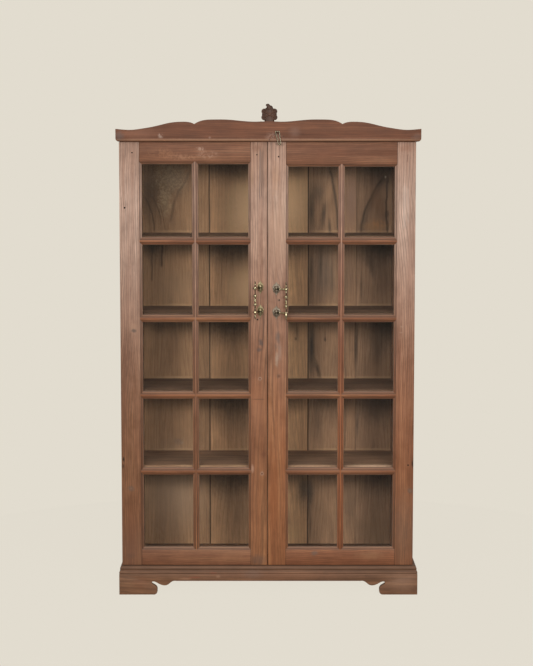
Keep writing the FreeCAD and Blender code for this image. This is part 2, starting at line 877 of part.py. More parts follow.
    def vertical_bar(self, slab):
        bar = slab.common(self.vertical_bar_region())
        above = moulding_width + bar_tenon_length
        middle = door_thickness / 2.0
        half = door_tenon_thickness / 2.0
        across = (self.bar_u - bar_tenon_width / 2.0, self.bar_u + bar_tenon_width / 2.0)
        tenons = []
        for level, outward in ((self.rows[0][0], -1.0), (self.sight_top, 1.0)):
            tenons.append(self.box(across, (middle - half, middle + half),
                                   (level - outward * rebate_width, level + outward * above)))
        return bar.multiFuse(tenons)

    def cross_bars(self, slab):
        """Eight short bars, cut off at the vertical bar."""
        bars = []
        for column in self.columns:
            for lower, upper in zip(self.rows[:-1], self.rows[1:]):
                bars.append(slab.common(self.cross_bar_region(column, lower[1], upper[0])))
        return Part.makeCompound(bars)

    def panes(self):
        lap = rebate_width - glazing_clearance
        front = glass_setback + glazing_clearance
        panes = []
        for u_range in self.columns:
            for z_range in self.rows:
                panes.append(self.box((u_range[0] - lap, u_range[1] + lap),
                                      (front, front + glass_thickness),
                                      (z_range[0] - lap, z_range[1] + lap)))
        return Part.makeCompound(panes)

    def glazing_beads(self):
        """Four strips behind each pane, between the rebate and the sight line."""
        lap = rebate_width - glazing_clearance
        front = glass_setback + glass_thickness + 2.0 * glazing_clearance
        deep = (front, front + bead_depth)
        beads = []
        for left, right in self.columns:
            for low, high in self.rows:
                across = (left - lap, right + lap)
                beads += [self.box(across, deep, (low - lap, low)),
                          self.box(across, deep, (high, high + lap)),
                          self.box((left - lap, left), deep, (low, high)),
                          self.box((right, right + lap), deep, (low, high))]
        return Part.makeCompound(beads)

    def pivots(self):
        """Iron pins at the foot and head of the outer stile; the lower has a collar to stand on."""
        axis_x = pivot_axis_x(self.side)

        def at(z):
            return V(axis_x, pivot_inset, z)

        lower = rod(pivot_radius, at(base_top - pivot_in_board + seat_clearance),
                    at(door_bottom + pivot_in_door - seat_clearance))
        collar = rod(pivot_collar_radius, at(base_top + seat_clearance), at(door_bottom))
        upper = rod(pivot_radius, at(door_top - pivot_in_door + seat_clearance),
                    at(soffit + pivot_in_board - seat_clearance))
        return Part.makeCompound([lower.fuse(collar), upper])


# Handles


def handle_axis(side):
    """The upright axis on which a handle swings, at the level of its middle."""
    if side == LEFT:
        return V(-left_handle_place, -handle_pin_height, left_handle_height)
    return V(right_handle_place, -handle_pin_height, right_handle_height)


def plate_levels(side):
    middle = handle_axis(side).z
    return (middle - handle_plate_pitch / 2.0, middle + handle_plate_pitch / 2.0)


def plate_shank(side, level, grow):
    x = handle_axis(side).x
    return rod(handle_shank_radius + grow, V(x, -handle_plate_thickness / 2.0, level),
               V(x, handle_shank_length + grow, level))


def handle_plate(side, level):
    """A leaf-shaped plate with two lugs for the pin and a shank let into the stile."""
    axis = handle_axis(side)
    right = [(across * handle_plate_width, up * handle_plate_height) for across, up in handle_plate_shares]
    left = [(-across, up) for across, up in reversed(right[1:-1])]
    points = [V(axis.x + across, -handle_plate_thickness, level + up) for across, up in right + left]
    plate = polygon_prism(points, V(0.0, handle_plate_thickness, 0.0))
    pieces = [plate_shank(side, level, 0.0)]
    for up in (1.0, -1.0):
        near = level + up * handle_slot / 2.0
        far = near + up * handle_lug_thickness
        pieces.append(box((axis.x - handle_lug_radius, axis.x + handle_lug_radius),
                          (-handle_plate_thickness / 2.0, axis.y), (near, far)))
        pieces.append(rod(handle_lug_radius, V(axis.x, axis.y, near), V(axis.x, axis.y, far)))
    reach = handle_slot + handle_lug_thickness
    bore = rod(handle_pin_radius + turning_clearance, V(axis.x, axis.y, level - reach),
               V(axis.x, axis.y, level + reach))
    return plate.multiFuse(pieces).cut(bore)


def handle_plates(side):
    return Part.makeCompound([handle_plate(side, level) for level in plate_levels(side)])


def handle_pins(side):
    """The headed pins on which the handle's two eyes turn."""
    axis = handle_axis(side)
    half = handle_slot / 2.0 + handle_lug_thickness
    pins = []
    for level in plate_levels(side):
        pin = rod(handle_pin_radius, V(axis.x, axis.y, level - half), V(axis.x, axis.y, level + half))
        heads = [rod(handle_pin_head_radius, V(axis.x, axis.y, level + up * half),
                     V(axis.x, axis.y, level + up * (half + handle_pin_head_thickness)))
                 for up in (1.0, -1.0)]
        pins.append(pin.multiFuse(heads))
    return Part.makeCompound(pins)


def handle_bar(side):
    """A turned bar of balls, with an arm and an eye at each plate."""
    axis = handle_axis(side)
    rest_angle = left_handle_rest_angle if side == LEFT else right_handle_rest_angle
    rest = math.radians(rest_angle)
    arm = V(side * math.sin(rest), -math.cos(rest), 0.0).multiply(handle_arm_length)
    middle = axis.add(arm)

    def at(height):
        return middle.add(V(0.0, 0.0, height))

    half = handle_length / 2.0
    barrel = handle_barrel_length / 2.0
    pieces = [rod(handle_barrel_radius, at(-barrel), at(barrel))]
    for up in (1.0, -1.0):
        tip_start = at(up * (half - handle_tip_length))
        pieces.append(Part.makeCone(handle_rod_radius, handle_rod_radius / 4.0, handle_tip_length,
                                    tip_start, V(0.0, 0.0, up)))
        pieces.append(ball(handle_bead_radius, at(up * handle_bead_place)))
        pieces.append(ball(handle_end_ball_radius, at(up * handle_plate_pitch / 2.0)))
        pieces.append(ball(handle_ball_radius, at(up * handle_ball_pitch / 2.0)))
        level = V(0.0, 0.0, up * handle_plate_pitch / 2.0)
        pieces.append(rod(handle_arm_radius, axis.add(level), middle.add(level)))
        eye_low = axis.add(level).sub(V(0.0, 0.0, handle_eye_thickness / 2.0))
        pieces.append(rod(handle_eye_radius, eye_low, eye_low.add(V(0.0, 0.0, handle_eye_thickness))))
    core = rod(handle_rod_radius, at(handle_tip_length - half), at(half - handle_tip_length))
    bore = rod(handle_pin_radius + turning_clearance, axis.sub(V(0.0, 0.0, half)),
               axis.add(V(0.0, 0.0, half)))
    return core.multiFuse(pieces).cut(bore)


# Hasp


def hasp_pivot():
    """The middle of the hasp's foot wire, which turns in the eye on the right door."""
    return V(hasp_place, -hasp_stand_off, door_top - hasp_eye_drop)


def hasp_top_x():
    return hasp_place - hasp_lean_width


def hasp_staple_level():
    top_wire = hasp_pivot().z + hasp_length
    return top_wire - hasp_wire_radius - hasp_staple_gap - hasp_staple_radius


def hasp():
    """A tapered loop of wire, hung by its foot in the eye and closed over the staple."""
    foot = hasp_pivot()
    top = foot.add(V(-hasp_lean_width, 0.0, hasp_length))
    foot_reach = V(hasp_foot_width / 2.0 - hasp_wire_radius, 0.0, 0.0)
    top_reach = V(hasp_top_width / 2.0 - hasp_wire_radius, 0.0, 0.0)
    corners = [foot.sub(foot_reach), foot.add(foot_reach), top.add(top_reach), top.sub(top_reach)]
    pieces = [rod(hasp_wire_radius, a, b) for a, b in zip(corners, corners[1:] + corners[:1])]
    pieces += [ball(hasp_wire_radius, corner) for corner in corners]
    return pieces[0].multiFuse(pieces[1:])


def hasp_eye_shank(grow):
    foot = hasp_pivot()
    ring = hasp_eye_ring_radius()
    return rod(hasp_eye_wire_radius + grow, V(foot.x, foot.y + ring, foot.z),
               V(foot.x, hasp_eye_depth + grow, foot.z))


def hasp_eye_ring_radius():
    return hasp_wire_radius + hasp_eye_clearance + hasp_eye_wire_radius


def hasp_eye():
    """A ring on a shank that stands out from the door, past the face of the cornice."""
    ring = Part.makeTorus(hasp_eye_ring_radius(), hasp_eye_wire_radius, hasp_pivot(), V(1.0, 0.0, 0.0))
    return ring.fuse(hasp_eye_shank(0.0))


def hasp_staple():
    """A straight iron pin in the face of the cornice, over which the hasp drops."""
    x = hasp_top_x()
    level = hasp_staple_level()
    return rod(hasp_staple_radius, V(x, -front_overhang - hasp_staple_reach, level),
               V(x, hasp_staple_depth - front_overhang - seat_clearance, level))


# Whole cabinet


def carcass_nodes():
    nodes = {
        "front_left_post": front_post(LEFT),
        "front_right_post": front_post(RIGHT),
        "rear_left_post": rear_post(LEFT),
        "rear_right_post": rear_post(RIGHT),
        "left_side_rails": side_rails(LEFT),
        "right_side_rails": side_rails(RIGHT),
        "left_side_panels": side_panels(LEFT),
        "right_side_panels": side_panels(RIGHT),
        "front_rails": front_rails(),
        "rear_rail": rear_rail(),
        "bottom_board": bottom_board(),
        "top_board": top_board(),
        "shelf_cleats": shelf_cleats(),
        "cornice_front": cornice_front(),
        "cornice_returns": cornice_returns(),
        "finial": finial(),
        "base_front": base_front(),
        "base_left": base_side(LEFT),
        "base_right": base_side(RIGHT),
        "base_rear": base_rear(),
        "base_corner_blocks": base_corner_blocks(),
        "hasp_staple": hasp_staple(),
    }
    for index in range(bar_count):
        nodes["shelf_%d" % (index + 1)] = shelf(index)
    for index in range(len(back_joint_shares) + 1):
        nodes["back_board_%d" % (index + 1)] = back_board(index)
    return nodes


def door_nodes(name, door):
    slab = door.slab()
    shapes = {
        "outer_stile": door.outer_stile(slab),
        "inner_stile": door.inner_stile(slab),
        "top_rail": door.top_rail(slab),
        "bottom_rail": door.bottom_rail(slab),
        "vertical_bar": door.vertical_bar(slab),
        "cross_bars": door.cross_bars(slab),
        "panes": door.panes(),
        "glazing_beads": door.glazing_beads(),
        "pivots": door.pivots(),
        "handle_plates": handle_plates(door.side),
        "handle_pins": handle_pins(door.side),
        "handle_bar": handle_bar(door.side),
    }
    return {"%s_%s" % (name, part): shape for part, shape in shapes.items()}


def frame_shift():
    """The move that puts the origin on the floor under the middle of the whole cabinet."""
    reach = handle_arm_length * math.cos(math.radians(left_handle_rest_angle))
    foremost = -handle_pin_height - reach - handle_end_ball_radius
    return V((left_overhang - right_overhang) / 2.0, -(foremost + carcass_back) / 2.0, 0.0)


def main():
    os.makedirs("parts", exist_ok=True)
    nodes = carcass_nodes()
    left_door = Door(LEFT, left_outer_stile_width, left_inner_stile_width, left_top_rail_height)
    right_door = Door(RIGHT, right_outer_stile_width, right_inner_stile_width, right_top_rail_height)
    nodes.update(door_nodes("left", left_door))
    nodes.update(door_nodes("right", right_door))
    nodes["hasp"] = hasp()
    nodes["hasp_eye"] = hasp_eye()
    shift = frame_shift()
    for name, shape in nodes.items():
        shape.translate(shift)
        shape.exportStep("parts/%s.step" % name)
        box_now = shape.BoundBox
        print("%-24s solids %3d valid %s  x %.1f %.1f  y %.1f %.1f  z %.1f %.1f" % (
            name, len(shape.Solids), shape.isValid(), box_now.XMin, box_now.XMax,
            box_now.YMin, box_now.YMax, box_now.ZMin, box_now.ZMax))
    print("shift", shift)


main()
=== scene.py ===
import math

import bmesh
import bpy
from mathutils import Matrix, Vector


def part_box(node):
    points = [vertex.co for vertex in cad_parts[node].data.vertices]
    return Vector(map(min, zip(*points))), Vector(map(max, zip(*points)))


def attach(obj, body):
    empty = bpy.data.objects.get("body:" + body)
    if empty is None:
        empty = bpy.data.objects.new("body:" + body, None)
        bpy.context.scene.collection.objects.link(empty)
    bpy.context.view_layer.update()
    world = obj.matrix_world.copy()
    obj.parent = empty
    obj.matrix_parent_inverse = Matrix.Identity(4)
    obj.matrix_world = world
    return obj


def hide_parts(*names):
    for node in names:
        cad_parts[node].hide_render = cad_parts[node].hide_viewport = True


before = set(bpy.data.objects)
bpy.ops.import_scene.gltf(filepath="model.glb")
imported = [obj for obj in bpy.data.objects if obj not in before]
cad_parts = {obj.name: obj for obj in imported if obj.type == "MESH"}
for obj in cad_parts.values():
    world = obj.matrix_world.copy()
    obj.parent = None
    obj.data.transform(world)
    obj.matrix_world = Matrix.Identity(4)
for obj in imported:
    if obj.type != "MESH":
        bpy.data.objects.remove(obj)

bl_info = {
    "name": "Glass cabinet",
    "version": (1, 0, 0),
    "blender": (4, 5, 0),
    "location": "3D View > Sidebar > Cabinet",
    "description": "Finishes an old teak cabinet with two glazed doors",
    "category": "Add Mesh",
}

# Places are in metres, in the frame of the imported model. Lists of marks are in millimetres.
MM = 0.001
SIDES = ("left", "right")
BACK_BOARDS = ("back_board_1", "back_board_2", "back_board_3", "back_board_4", "back_board_5")
SHELVES = ("shelf_1", "shelf_2", "shelf_3", "shelf_4")
# Red, green and blue of each back board, against the common colour of the inside
BOARD_TONES = ((1.02, 1.0, 1.0), (1.45, 1.42, 1.42), (1.75, 1.75, 1.75), (1.08, 1.08, 1.18), (1.0, 1.02, 1.16))
# How even the streaks of each back board are
BOARD_SPREADS = (0.32, 0.32, 0.26, 0.26, 0.30)
# How dark the edges of the back boards are, from the left
JOINT_AMOUNTS = (1.0, 1.0, 1.0, 1.0, 0.3, 1.0)
# Where the dark filler in the last back joint, painted shade, is no darker than the boards
JOINT_FILLER_MARKS = (("soft", 376, 1610, 12, 200, 0, "#6f5545", 1.0), ("soft", 376, 640, 12, 180, 0, "#6f5545", 1.0),
              ("soft", 376, 270, 12, 210, 0, "#6f5545", 1.0), ("soft", 376, 1290, 12, 150, 0, "#5a4436", 0.8))
# Red, green and blue of the doors' boards, against their common colours
DOOR_TONES = {
    "left_inner_stile": (1.36, 1.31, 1.2), "left_vertical_bar": (1.28, 1.27, 1.27), "left_cross_bars": (1.2, 1.13, 1.0),
    "right_inner_stile": (1.42, 1.32, 1.18), "right_outer_stile": (1.26, 1.14, 1.06),
    "right_vertical_bar": (1.95, 1.65, 1.38), "right_cross_bars": (1.2, 1.13, 1.0),
    "right_bottom_rail": (1.25, 1.18, 1.08)}
# Red, green and blue of the shelf that the light falls on, against the common colours: painted light
SHELF_TONES = {"shelf_1": (2.15, 2.35, 2.5)}
# Depths behind a door's face and how far grime and painted shade darken them, then how far rubbing pales them
SASH_GRIME_AND_SHADE = ((0.3, 0.0), (1.0, 0.55), (1.9, 0.5), (2.9, 0.15), (4.2, 0.0), (9.4, 0.0), (10.5, 0.6))
SASH_ARRIS = ((3.5, 0.0), (6.5, 0.4), (9.2, 0.5), (9.9, 0.0))
# Width of the moulding round the panes, in millimetres
MOULDING = 10.5
# The depths of a hollow are given within this reach, in millimetres
HOLLOW_REACH = 20.0
ORIGIN = (0.0, 0.0, 0.0)
# Points closer than this are one point, faces flatter than this are one face, and sharper edges stay sharp
WELD = 1e-5
FLAT = math.radians(0.5)
SHARP = math.radians(30.0)
# The tone that leaves a colour as it is
PLAIN = (1.0, 1.0, 1.0)
# How far the patches of a board differ in tone
MOTTLE = 0.25

# Knots, cracks, stains and scuffs of each board, as wood() lists them, with soot and painted shadow below the back's
# shelves and painted light on the top shelf
MARKS = {
    "left_outer_stile": (
        ("line", -547, 1750, 50, 1, 0, 1.5, 2, "#4a3528", 0.7), ("spot", -578, 1581, 6, 6, 0, "#6a5242", 0.6),
        ("spot", -548, 1095, 26, 38, 10, "#b08a72", 0.5), ("spot", -544, 1085, 16, 11, 0, "#5f5048", 0.8),
        ("spot", -590, 557, 6, 16, 5, "#1c1410", 0.9), ("spot", -592, 530, 6, 14, 0, "#3a271c", 0.7),
        ("spot", -561, 437, 19, 16, 0, "#6d5c50", 0.8), ("spot", -561, 437, 9, 7, 0, "#8a6a55", 0.7),
        ("spot", -563, 158, 26, 18, 0, "#5a4336", 0.4), ("soft", -560, 200, 90, 200, 0, "#8c6a58", 0.35),
        ("spot", -560, 300, 40, 200, 0, "#7a4a30", 0.3)),
    "left_inner_stile": (
        ("soft", -43, 1700, 70, 280, 0, "#7d5541", 0.2), ("soft", -43, 780, 70, 160, 0, "#c08866", 0.3),
        ("line", -35, 1600, 235, 3, 0, 5.0, 8, "#6f6059", 0.7),
        ("line", -27, 1610, 210, 2, 0, 3.0, 6, "#5b4a42", 0.8), ("spot", -46, 1820, 30, 26, 0, "#7a5038", 0.5),
        ("spot", -66, 1700, 12, 60, 0, "#a98668", 0.35), ("line", -22, 1000, 200, 2, 0, 3.0, 6, "#4d3a30", 0.8),
        ("spot", -30, 1036, 12, 22, 10, "#5a4c48", 0.8), ("spot", -37, 1008, 16, 13, 0, "#5a4c48", 0.7),
        ("spot", -34, 889, 11, 11, 0, "#b49a88", 0.7), ("spot", -26, 499, 11, 11, 0, "#b49a88", 0.7),
        ("spot", -45, 805, 40, 4, 0, "#5a4234", 0.7), ("spot", -65, 520, 9, 24, 0, "#c9a088", 0.55),
        ("spot", -50, 830, 30, 90, 0, "#a36a48", 0.35), ("spot", -20, 580, 16, 24, 0, "#6a3f2c", 0.5),
        ("spot", -43, 140, 48, 36, 0, "#5f5048", 0.5)),
    "right_inner_stile": (
        ("soft", 45, 1490, 80, 300, 0, "#d9b399", 0.35), ("line", 44, 1155, 60, 0, 0, 2.4, 2, "#3d2d25", 0.7),
        ("spot", 40, 1209, 9, 9, 0, "#6a5a50", 0.5), ("spot", 38, 1058, 14, 34, 0, "#6d5b52", 0.7),
        ("spot", 32, 1020, 12, 26, 0, "#6d5b52", 0.5), ("spot", 34, 968, 10, 40, 0, "#b5a08e", 0.6),
        ("soft", 46, 1000, 12, 60, 0, "#998a7e", 0.4), ("spot", 43, 900, 12, 12, 0, "#6a5548", 0.6),
        ("spot", 30, 1700, 22, 90, 0, "#b98a68", 0.35), ("spot", 22, 420, 30, 240, 0, "#a9683f", 0.4),
        ("spot", 60, 600, 18, 200, 0, "#a5663f", 0.35)),
    "right_outer_stile": (
        ("soft", 550, 770, 70, 150, 0, "#c08866", 0.3), ("soft", 550, 260, 90, 260, 0, "#7e6e5f", 0.35),
        ("line", 545, 1490, 190, 4, 0, 9.0, 12, "#c9b3a6", 0.5),
        ("line", 563, 1510, 160, -3, 0, 7.0, 10, "#bfa89b", 0.45),
        ("line", 556, 1762, 34, 3, 0, 1.8, 2, "#3b2a22", 0.8), ("spot", 541, 1101, 12, 6, 0, "#b5917b", 0.4),
        ("spot", 537, 1077, 10, 5, 0, "#b5917b", 0.4), ("line", 528, 640, 420, 12, -16, 4.0, 16, "#74472f", 0.5),
        ("line", 562, 660, 380, -8, 12, 4.0, 16, "#74472f", 0.5),
        ("line", 545, 700, 300, 0, 0, 3.5, 12, "#74472f", 0.45), ("spot", 588, 540, 7, 18, 0, "#3a271c", 0.7),
        ("soft", 590, 540, 9, 30, 0, "#2a1b14", 0.6), ("spot", 580, 428, 16, 16, 0, "#6d5c50", 0.7),
        ("spot", 580, 428, 8, 8, 0, "#8a6a55", 0.7), ("spot", 550, 1820, 50, 24, 0, "#8a5c42", 0.4)),
    "left_top_rail": (
        ("curl", -274, 1817, 28, 11, 0, "#bd9c88", 0.6), ("curl", -245, 1793, 60, 24, 0, "#b58f78", 0.5),
        ("curl", -350, 1782, 90, 18, 0, "#ad8064", 0.5), ("curl", -425, 1800, 80, 26, 0, "#a0704f", 0.45)),
    "right_top_rail": (
        ("spot", 250, 1800, 120, 30, 0, "#7a4a32", 0.35), ("spot", 450, 1770, 70, 14, 0, "#a07354", 0.3)),
    "left_bottom_rail": (
        ("spot", -150, 160, 90, 30, 0, "#a07050", 0.4), ("spot", -440, 150, 60, 20, 0, "#6a4430", 0.4)),
    "right_bottom_rail": (
        ("spot", 188, 170, 20, 14, 0, "#6f5f55", 0.6), ("spot", 420, 160, 90, 26, 0, "#a27a58", 0.35)),
    "left_cross_bars": (
        ("spot", -420, 506, 70, 5, 0, "#a8704c", 0.5), ("spot", -180, 819, 80, 5, 0, "#a8704c", 0.5),
        ("soft", -350, 821, 240, 60, 0, "#a8704c", 0.45)),
    "right_cross_bars": (
        ("soft", 294, 508, 300, 60, 0, "#b07a58", 0.5), ("soft", 180, 821, 160, 60, 0, "#4f3122", 0.45),
        ("soft", 180, 1134, 160, 60, 0, "#4f3122", 0.3)),
    "cornice_front": (
        ("curl", -430, 1869, 16, 16, 0, "#b39a8c", 0.6), ("spot", -234, 1861, 8, 8, 0, "#a8897a", 0.4),
        ("soft", -520, 1878, 120, 60, 0, "#a4735b", 0.3), ("soft", -300, 1851, 700, 9, 0, "#c39a7e", 0.5),
        ("soft", 300, 1851, 700, 9, 0, "#c39a7e", 0.5), ("spot", -594, 1866, 26, 26, 0, "#665a56", 0.5),
        ("spot", 592, 1862, 28, 24, 0, "#7d6256", 0.4), ("soft", 105, 1885, 34, 34, 0, "#98776a", 0.35),
        ("curl", 20, 1860, 44, 32, 0, "#9a7868", 0.6), ("spot", 70, 1850, 90, 12, 0, "#8a6b5e", 0.4),
        ("spot", 470, 1885, 60, 16, 0, "#5f3a28", 0.4), ("spot", 4, 1852, 4, 4, 0, "#3c2a22", 0.7),
        ("spot", 16, 1862, 4, 5, 0, "#3c2a22", 0.7), ("spot", 23, 1872, 4, 4, 0, "#3c2a22", 0.7),
        ("spot", 60, 1866, 5, 4, 0, "#3c2a22", 0.7)),
    "base_front": (
        ("spot", -340, 66, 34, 6, 0, "#b08468", 0.5), ("spot", -300, 72, 40, 6, 0, "#8a4a34", 0.5),
        ("spot", -225, 90, 24, 7, 0, "#8e5038", 0.5), ("spot", -205, 76, 14, 8, 0, "#a8846c", 0.5),
        ("spot", -62, 84, 60, 26, 0, "#6d5f57", 0.5), ("soft", 550, 50, 100, 60, 0, "#b08a72", 0.35),
        ("spot", -520, 50, 60, 40, 0, "#7f5038", 0.35), ("spot", 40, 80, 420, 26, 0, "#936448", 0.4)),
    # The "shade" marks of the back boards are painted shadow below each shelf and the top, with soot in places
    "back_board_1": (
        ("soft", -505, 1640, 80, 200, 0, "#433327", 0.75), ("soft", -400, 1690, 150, 110, 0, "#4f3d2f", 0.7),
        ("soft", -412, 1690, 76, 90, 15, "#937c63", 0.5), ("soft", -438, 1600, 34, 80, 0, "#a08a6e", 0.5),
        ("curl", -420, 1700, 100, 88, 15, "#c9ad89", 0.4), ("curl", -440, 1595, 46, 80, 0, "#d2b58f", 0.5),
        ("line", -425, 1500, 240, 60, 40, 9.0, 50, "#453426", 0.45),
        ("line", -488, 1462, 165, 20, -66, 5.0, 20, "#33261c", 0.7),
        ("line", -460, 1490, 150, 12, -58, 4.0, 24, "#3d2e22", 0.6),
        ("line", -438, 1470, 120, -30, 10, 4.0, 30, "#4a382a", 0.5),
        ("soft", -400, 1230, 150, 140, 0, "#b3906f", 0.4), ("shade", -395, 1456, 190, 110, "#3a2c22", 0.5),
        ("shade", -490, 1456, 84, 165, "#1a1410", 1.0), ("line", -455, 1312, 150, 4, 0, 7.0, 14, "#271c16", 0.8),
        ("line", -500, 1250, 170, 6, 0, 6.0, 24, "#2c2019", 0.6), ("shade", -400, 1143, 190, 150, "#35271e", 0.65),
        ("soft", -467, 1060, 44, 60, 0, "#3a2b21", 0.4), ("soft", -400, 985, 80, 120, 0, "#6d4e38", 0.35),
        ("shade", -400, 830, 190, 130, "#45362a", 0.55), ("spot", -388, 566, 30, 22, 0, "#6a584d", 0.5),
        ("spot", -372, 560, 8, 8, 0, "#a08c7c", 0.5), ("soft", -400, 360, 200, 280, 0, "#bc9c81", 0.7)),
    "back_board_2": (
        ("soft", -110, 1560, 120, 230, 0, "#ecc298", 1.0), ("soft", -105, 1230, 120, 180, 0, "#e4b98f", 1.0),
        ("shade", -175, 1800, 220, 185, "#1f1814", 0.95), ("shade", -165, 1456, 240, 205, "#1c1512", 0.97),
        ("soft", -200, 1560, 70, 140, 0, "#b38e6c", 0.35), ("soft", -120, 650, 130, 140, 0, "#5d4736", 0.3),
        ("soft", -120, 270, 130, 180, 0, "#5d4a3c", 0.3), ("shade", -160, 1143, 250, 235, "#19120f", 1.0),
        ("shade", -160, 1143, 160, 100, "#0c0907", 0.7), ("shade", -160, 830, 240, 260, "#231b16", 0.95),
        ("shade", -165, 517, 240, 290, "#24201c", 0.9), ("line", -200, 1160, 280, 0, 0, 4.0, 20, "#7a5f48", 0.4),
        ("line", -85, 1475, 200, 4, 0, 5.0, 16, "#8a6b50", 0.4)),
    "back_board_3": (
        # The first line, behind the seam between the doors, is painted shade seen through the seam
        ("line", -3.4, -300, 2700, 0, 0, 7.0, 0, "#20160f", 0.9), ("soft", 118, 1590, 110, 210, 0, "#f0c498", 0.9),
        ("shade", 110, 1800, 130, 150, "#3f3025", 0.8), ("shade", 110, 1456, 130, 190, "#40291c", 0.75),
        ("shade", 110, 1143, 130, 130, "#382a20", 0.75), ("soft", 124, 1040, 13, 64, 4, "#3a2a1f", 0.6),
        ("spot", 118, 1012, 7, 12, 0, "#2f2119", 0.6), ("shade", 110, 830, 130, 180, "#382b22", 0.7),
        ("shade", 110, 517, 130, 200, "#332b25", 0.7), ("soft", 155, 355, 46, 120, 0, "#2a2420", 0.85),
        ("soft", 112, 160, 60, 70, 0, "#c8a074", 0.6)),
    "back_board_4": (
        ("soft", 184, 1560, 22, 150, 0, "#2b211b", 0.75), ("soft", 236, 1545, 18, 90, -6, "#2f2722", 0.75),
        ("soft", 262, 1490, 12, 60, 4, "#2f2620", 0.7), ("line", 300, 1455, 300, -8, -36, 9.0, 20, "#2f2722", 0.7),
        ("soft", 215, 1640, 40, 80, 0, "#50443b", 0.5), ("shade", 270, 1800, 150, 150, "#352921", 0.8),
        ("soft", 240, 1300, 80, 200, 0, "#5f554e", 0.55), ("soft", 184, 1300, 14, 170, 0, "#352a24", 0.7),
        ("soft", 224, 1330, 9, 120, 0, "#3b322c", 0.6), ("soft", 272, 1290, 8, 130, 0, "#43382f", 0.5),
        ("shade", 270, 1456, 150, 110, "#2c221c", 0.75), ("soft", 186, 980, 24, 190, 0, "#1e1713", 0.92),
        ("soft", 212, 880, 16, 70, 14, "#2a1f19", 0.8), ("shade", 270, 1143, 150, 120, "#33271f", 0.6),
        ("spot", 244, 1008, 7, 14, 0, "#241a15", 0.8), ("soft", 244, 1030, 6, 40, 0, "#4b382b", 0.5),
        ("soft", 330, 1250, 18, 180, 0, "#4b382b", 0.5), ("line", 330, 500, 560, 6, -8, 6.0, 22, "#4b382b", 0.5),
        ("shade", 250, 830, 170, 230, "#352a22", 0.75), ("soft", 176, 345, 36, 110, 0, "#2a2420", 0.85),
        ("soft", 214, 640, 30, 110, 0, "#5f4a3a", 0.5), ("soft", 182, 220, 8, 90, 0, "#3b2f27", 0.5),
        ("soft", 354, 1600, 46, 190, 0, "#947362", 0.85), ("soft", 352, 300, 46, 200, 0, "#7f6450", 0.7),
        ("soft", 352, 1290, 34, 170, 0, "#6d5546", 0.5), ("soft", 373, 985, 8, 170, 0, "#2c2019", 0.8),
        ("shade", 260, 517, 150, 160, "#3a312a", 0.6)),
    "back_board_5": (
        ("shade", 480, 1800, 170, 200, "#1a1310", 0.95), ("line", 408, 1452, 260, -7, 104, 26.0, 14, "#382a20", 0.45),
        ("line", 396, 1452, 260, -7, 110, 9.5, 22, "#241912", 0.7), ("soft", 464, 1590, 50, 130, 14, "#7d563a", 0.6),
        ("soft", 450, 1488, 70, 34, 0, "#a97b52", 0.6), ("line", 504, 1450, 260, -14, 18, 8.0, 30, "#1c1410", 0.8),
        ("spot", 506, 1545, 12, 24, 0, "#231a15", 0.6), ("curl", 462, 1500, 62, 34, 0, "#b98558", 0.8),
        ("spot", 498, 1702, 5, 8, 0, "#d8c6ae", 0.8), ("soft", 470, 890, 90, 80, 0, "#a37b5b", 0.5),
        ("soft", 380, 985, 8, 170, 0, "#2c2019", 0.8), ("shade", 480, 1456, 150, 210, "#17110e", 0.95),
        ("soft", 440, 1330, 22, 90, 10, "#2b211b", 0.6), ("soft", 398, 1230, 8, 110, 0, "#3a2a20", 0.6),
        ("soft", 500, 1250, 50, 130, 0, "#5c402d", 0.45), ("shade", 510, 1143, 130, 240, "#18120f", 0.95),
        ("soft", 470, 960, 50, 160, 0, "#3f2f25", 0.5), ("shade", 460, 830, 170, 270, "#36312f", 0.8),
        ("soft", 384, 640, 14, 80, 0, "#3c3836", 0.5), ("shade", 490, 517, 170, 250, "#2a2a2b", 0.85),
        ("soft", 460, 180, 110, 100, 0, "#957558", 0.6), ("line", 531, 1150, 310, 0, 0, 8.0, 5, "#050302", 1.0),
        ("line", 531, 835, 320, 0, 0, 8.0, 5, "#050302", 1.0)),
    # Pools of light painted along the top shelf's front edge, where the lamps catch it
    "shelf_1": (
        ("spot", -330, -138, 130, 16, -3, "#cfa783", 0.9), ("spot", -150, -136, 130, 18, -3, "#cfa783", 0.9),
        ("spot", 180, -138, 150, 26, 0, "#cda587", 1.0), ("spot", 420, -138, 150, 26, 0, "#deb89b", 1.0)),
}


def linear(code):
    """An sRGB hex colour as linear red, green, blue and alpha."""
    parts = [int(code[i:i + 2], 16) / 255.0 for i in (1, 3, 5)]
    return tuple(c / 12.92 if c <= 0.04045 else ((c + 0.055) / 1.055) ** 2.4 for c in parts) + (1.0,)


# Settings that a user would change


def colour(name, code, description):
    """A colour setting, given as an sRGB hex code."""
    return bpy.props.FloatVectorProperty(
        name=name, description=description, subtype="COLOR", size=4, min=0.0, max=1.0,
        default=linear(code))


def length(name, millimetres, description):
    """A setting for a length."""
    return bpy.props.FloatProperty(
        name=name, description=description, default=millimetres * MM, min=0.0, unit="LENGTH",
        precision=4)


